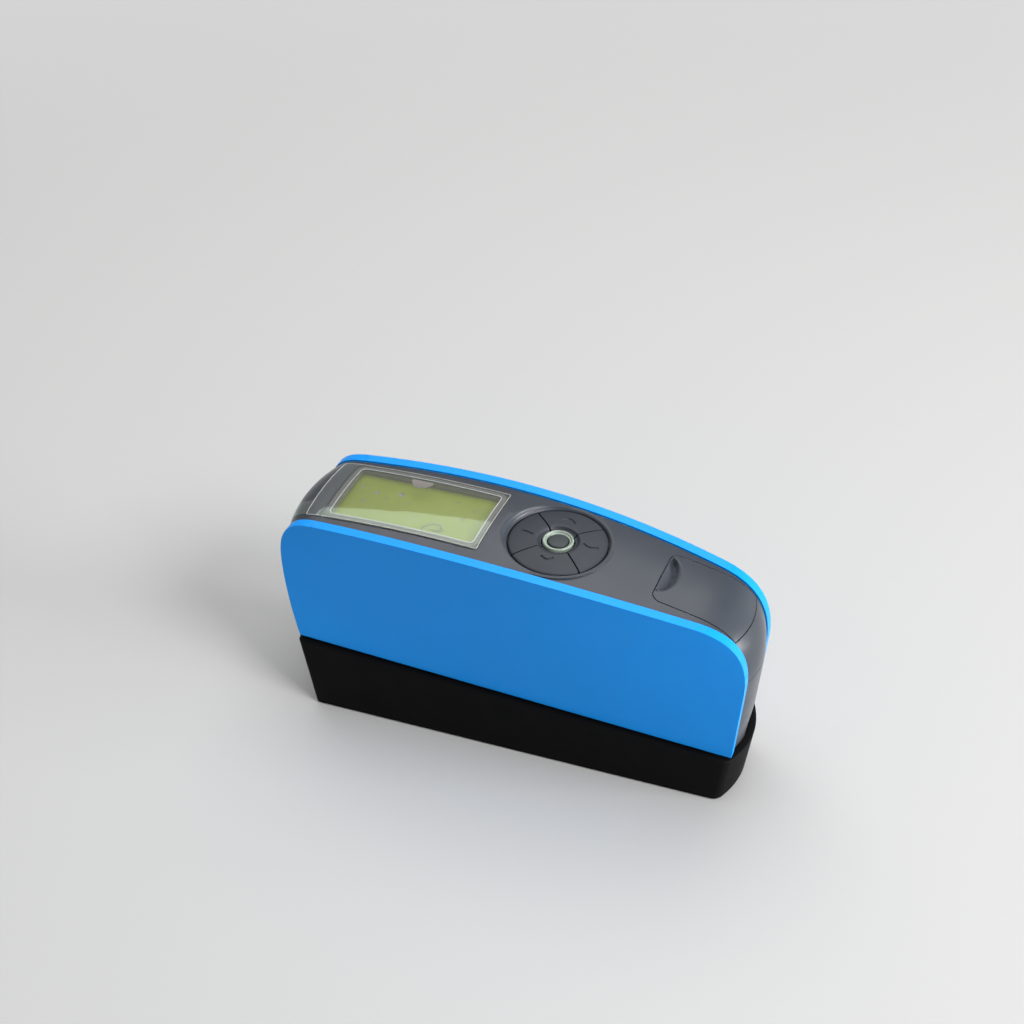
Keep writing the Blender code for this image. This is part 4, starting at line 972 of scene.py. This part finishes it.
marks = {
    "key_right": (0.75, [(7.6, 1.2), (9.6, -0.1), (12.5, 1.3)]),
    "key_up": (0.85, [(-2.5, 8.9), (-0.4, 11.3), (2.0, 9.1)]),
    "key_left": (0.75, [(-12.31, -0.23), (-11.38, 0.71), (-8.17, -0.42)]),
    "key_down": (0.75, [(-2.3, -8.7), (-0.1, -10.1), (1.6, -8.4)]),
}
for quarter, (name, (width, points)) in enumerate(marks.items()):
    bm = bmesh.new()
    verts = [bm.verts.new((radius, 0.0, height)) for radius, height in section]
    edges = [bm.edges.new(pair) for pair in zip(verts, verts[1:] + verts[:1])]
    bm.transform(Matrix.Rotation(math.radians(-SPIN / 2), 4, "Z"))
    bmesh.ops.spin(bm, geom=verts + edges, cent=(0, 0, 0), axis=(0, 0, 1),
                   angle=math.radians(SPIN), steps=SPIN_STEPS)
    for angle in (math.radians(135.0), math.radians(-135.0)):
        out = Vector((math.cos(angle), math.sin(angle), 0.0))
        bmesh.ops.bisect_plane(bm, geom=bm.verts[:] + bm.edges[:] + bm.faces[:], dist=0.0001,
                               plane_co=-out * GAP_HALF, plane_no=out, clear_outer=True)
    bmesh.ops.holes_fill(bm, edges=[edge for edge in bm.edges if edge.is_boundary], sides=0)
    bm.transform(Matrix.Rotation(math.radians(90.0 * quarter), 4, "Z"))
    pad = shape(bm, KEYS)
    combine(pad, groove(points, width, MARK_DEPTH))
    finished(pad, name + "_pad", grey_silicone, (name,), name, 35.0)

# %% [markdown]
# The ring round the centre button is clear polycarbonate in a pale colour, with two soft
# beads. The button is a low dome.

# %% Centre button and ring
CAP_RADIUS, RING_RADIUS, RING_BORE = 3.15, 4.8, 3.45

cap = [(0.0, 0.82), (1.2, 0.8), (2.2, 0.72), (2.8, 0.6), (3.02, 0.48), (CAP_RADIUS, 0.2)]
cap = rounded(cap) + [(CAP_RADIUS, -KEY_THICK), (0.0, -KEY_THICK)]
finished(shape(turned(cap), KEYS), "centre_cap", cap_silicone, ("centre_button",), "centre_button")
ring = [(RING_RADIUS, 0.25), (4.74, 0.62), (4.48, 0.8), (4.2, 0.74), (4.05, 0.5), (3.95, 0.28),
        (3.8, 0.22), (3.65, 0.3), (RING_BORE, 0.1)]
ring = rounded(ring) + [(RING_BORE, -KEY_THICK), (RING_RADIUS, -KEY_THICK)]
finished(shape(turned(ring, closed=True), KEYS), "pale_ring", pale_ring, ("light_ring",))

# %% [markdown]
# The light is a plain soft studio. One wide soft light stands above and behind; its far
# edge is what the curved window mirrors as a border between a pale and a dark part. A
# second light at the right front brightens the rims, and a third one shines on the nose.
# The floor fades into the pale wall for the camera alone, and the world is dim in mirrors
# but for its bright side beyond the nose, so that the housing keeps its dark grey.

# %% Floor and light
PALE, COOL = (0.82, 0.82, 0.82, 1.0), (0.95, 0.97, 1.0, 1.0)

bpy.ops.mesh.primitive_plane_add(size=12.0)
floor = bpy.context.object
floor.name = "floor"
paper, tree, shader = start("pale_paper_floor", "#B4B4B3", 0.9, specular=0.2)
place = add(tree, "ShaderNodeTexCoord").outputs["Object"]
away = add(tree, "ShaderNodeVectorMath", {0: place}, operation="LENGTH")
fade = ranged(tree, away.outputs["Value"], (0.35, 1.1, 0.0, 1.0), interpolation_type="SMOOTHSTEP")
by_camera = add(tree, "ShaderNodeLightPath").outputs["Is Camera Ray"]
seen = add(tree, "ShaderNodeMath", {0: fade, 1: by_camera}, operation="MULTIPLY")
haze = add(tree, "ShaderNodeEmission", Color=PALE, Strength=1.0)
blend = add(tree, "ShaderNodeMixShader", {0: seen.outputs[0], 1: shader.outputs[0],
                                          2: haze.outputs[0]})
tree.links.new(blend.outputs[0], tree.nodes["Material Output"].inputs["Surface"])
floor.data.materials.append(paper)

world = bpy.data.worlds.new("studio")
bpy.context.scene.world = world
bpy.context.scene.view_settings.view_transform = "Standard"
world.use_nodes = True
tree = world.node_tree
tree.nodes.clear()
path = add(tree, "ShaderNodeLightPath")
seen = add(tree, "ShaderNodeMath", {0: path.outputs["Is Camera Ray"],
                                    1: path.outputs["Is Transmission Ray"]}, operation="MAXIMUM")
place = add(tree, "ShaderNodeTexCoord").outputs["Generated"]
way = add(tree, "ShaderNodeSeparateXYZ", {0: place})
bright = ranged(tree, way.outputs["X"], (0.25, 0.5, 0.3, 1.4), interpolation_type="SMOOTHSTEP")
fill = add(tree, "ShaderNodeBackground", Color=COOL, Strength=0.26)
mirrored = add(tree, "ShaderNodeBackground", {"Strength": bright}, Color=COOL)
pale = add(tree, "ShaderNodeBackground", Color=PALE, Strength=1.0)
either = add(tree, "ShaderNodeMixShader", {0: path.outputs["Is Glossy Ray"], 1: fill.outputs[0],
                                           2: mirrored.outputs[0]})
both = add(tree, "ShaderNodeMixShader", {0: seen.outputs[0], 1: either.outputs[0],
                                         2: pale.outputs[0]})
add(tree, "ShaderNodeOutputWorld", {"Surface": both.outputs[0]})


def soft_light(name, place, aim, size, power):
    """A square area light that looks at a point."""
    lamp = bpy.data.lights.new(name, "AREA")
    lamp.size = size
    lamp.energy = power
    made = bpy.data.objects.new(name, lamp)
    way = Vector(aim) - Vector(place)
    facing = way.to_track_quat("-Z", "Y").to_matrix().to_4x4()
    made.matrix_world = Matrix.Translation(place) @ facing
    bpy.context.scene.collection.objects.link(made)
    print(name, power, "W")


soft_light("top_light", (-0.22, 0.38, 1.2), (-0.04, 0.0, 0.07), 1.3, 16.0)
soft_light("right_light", (0.9, -0.35, 0.9), (0.0, 0.0, 0.05), 0.45, 12.0)
soft_light("end_light", (1.15, 0.10, 0.20), (0.0, 0.0, 0.05), 0.5, 18.0)
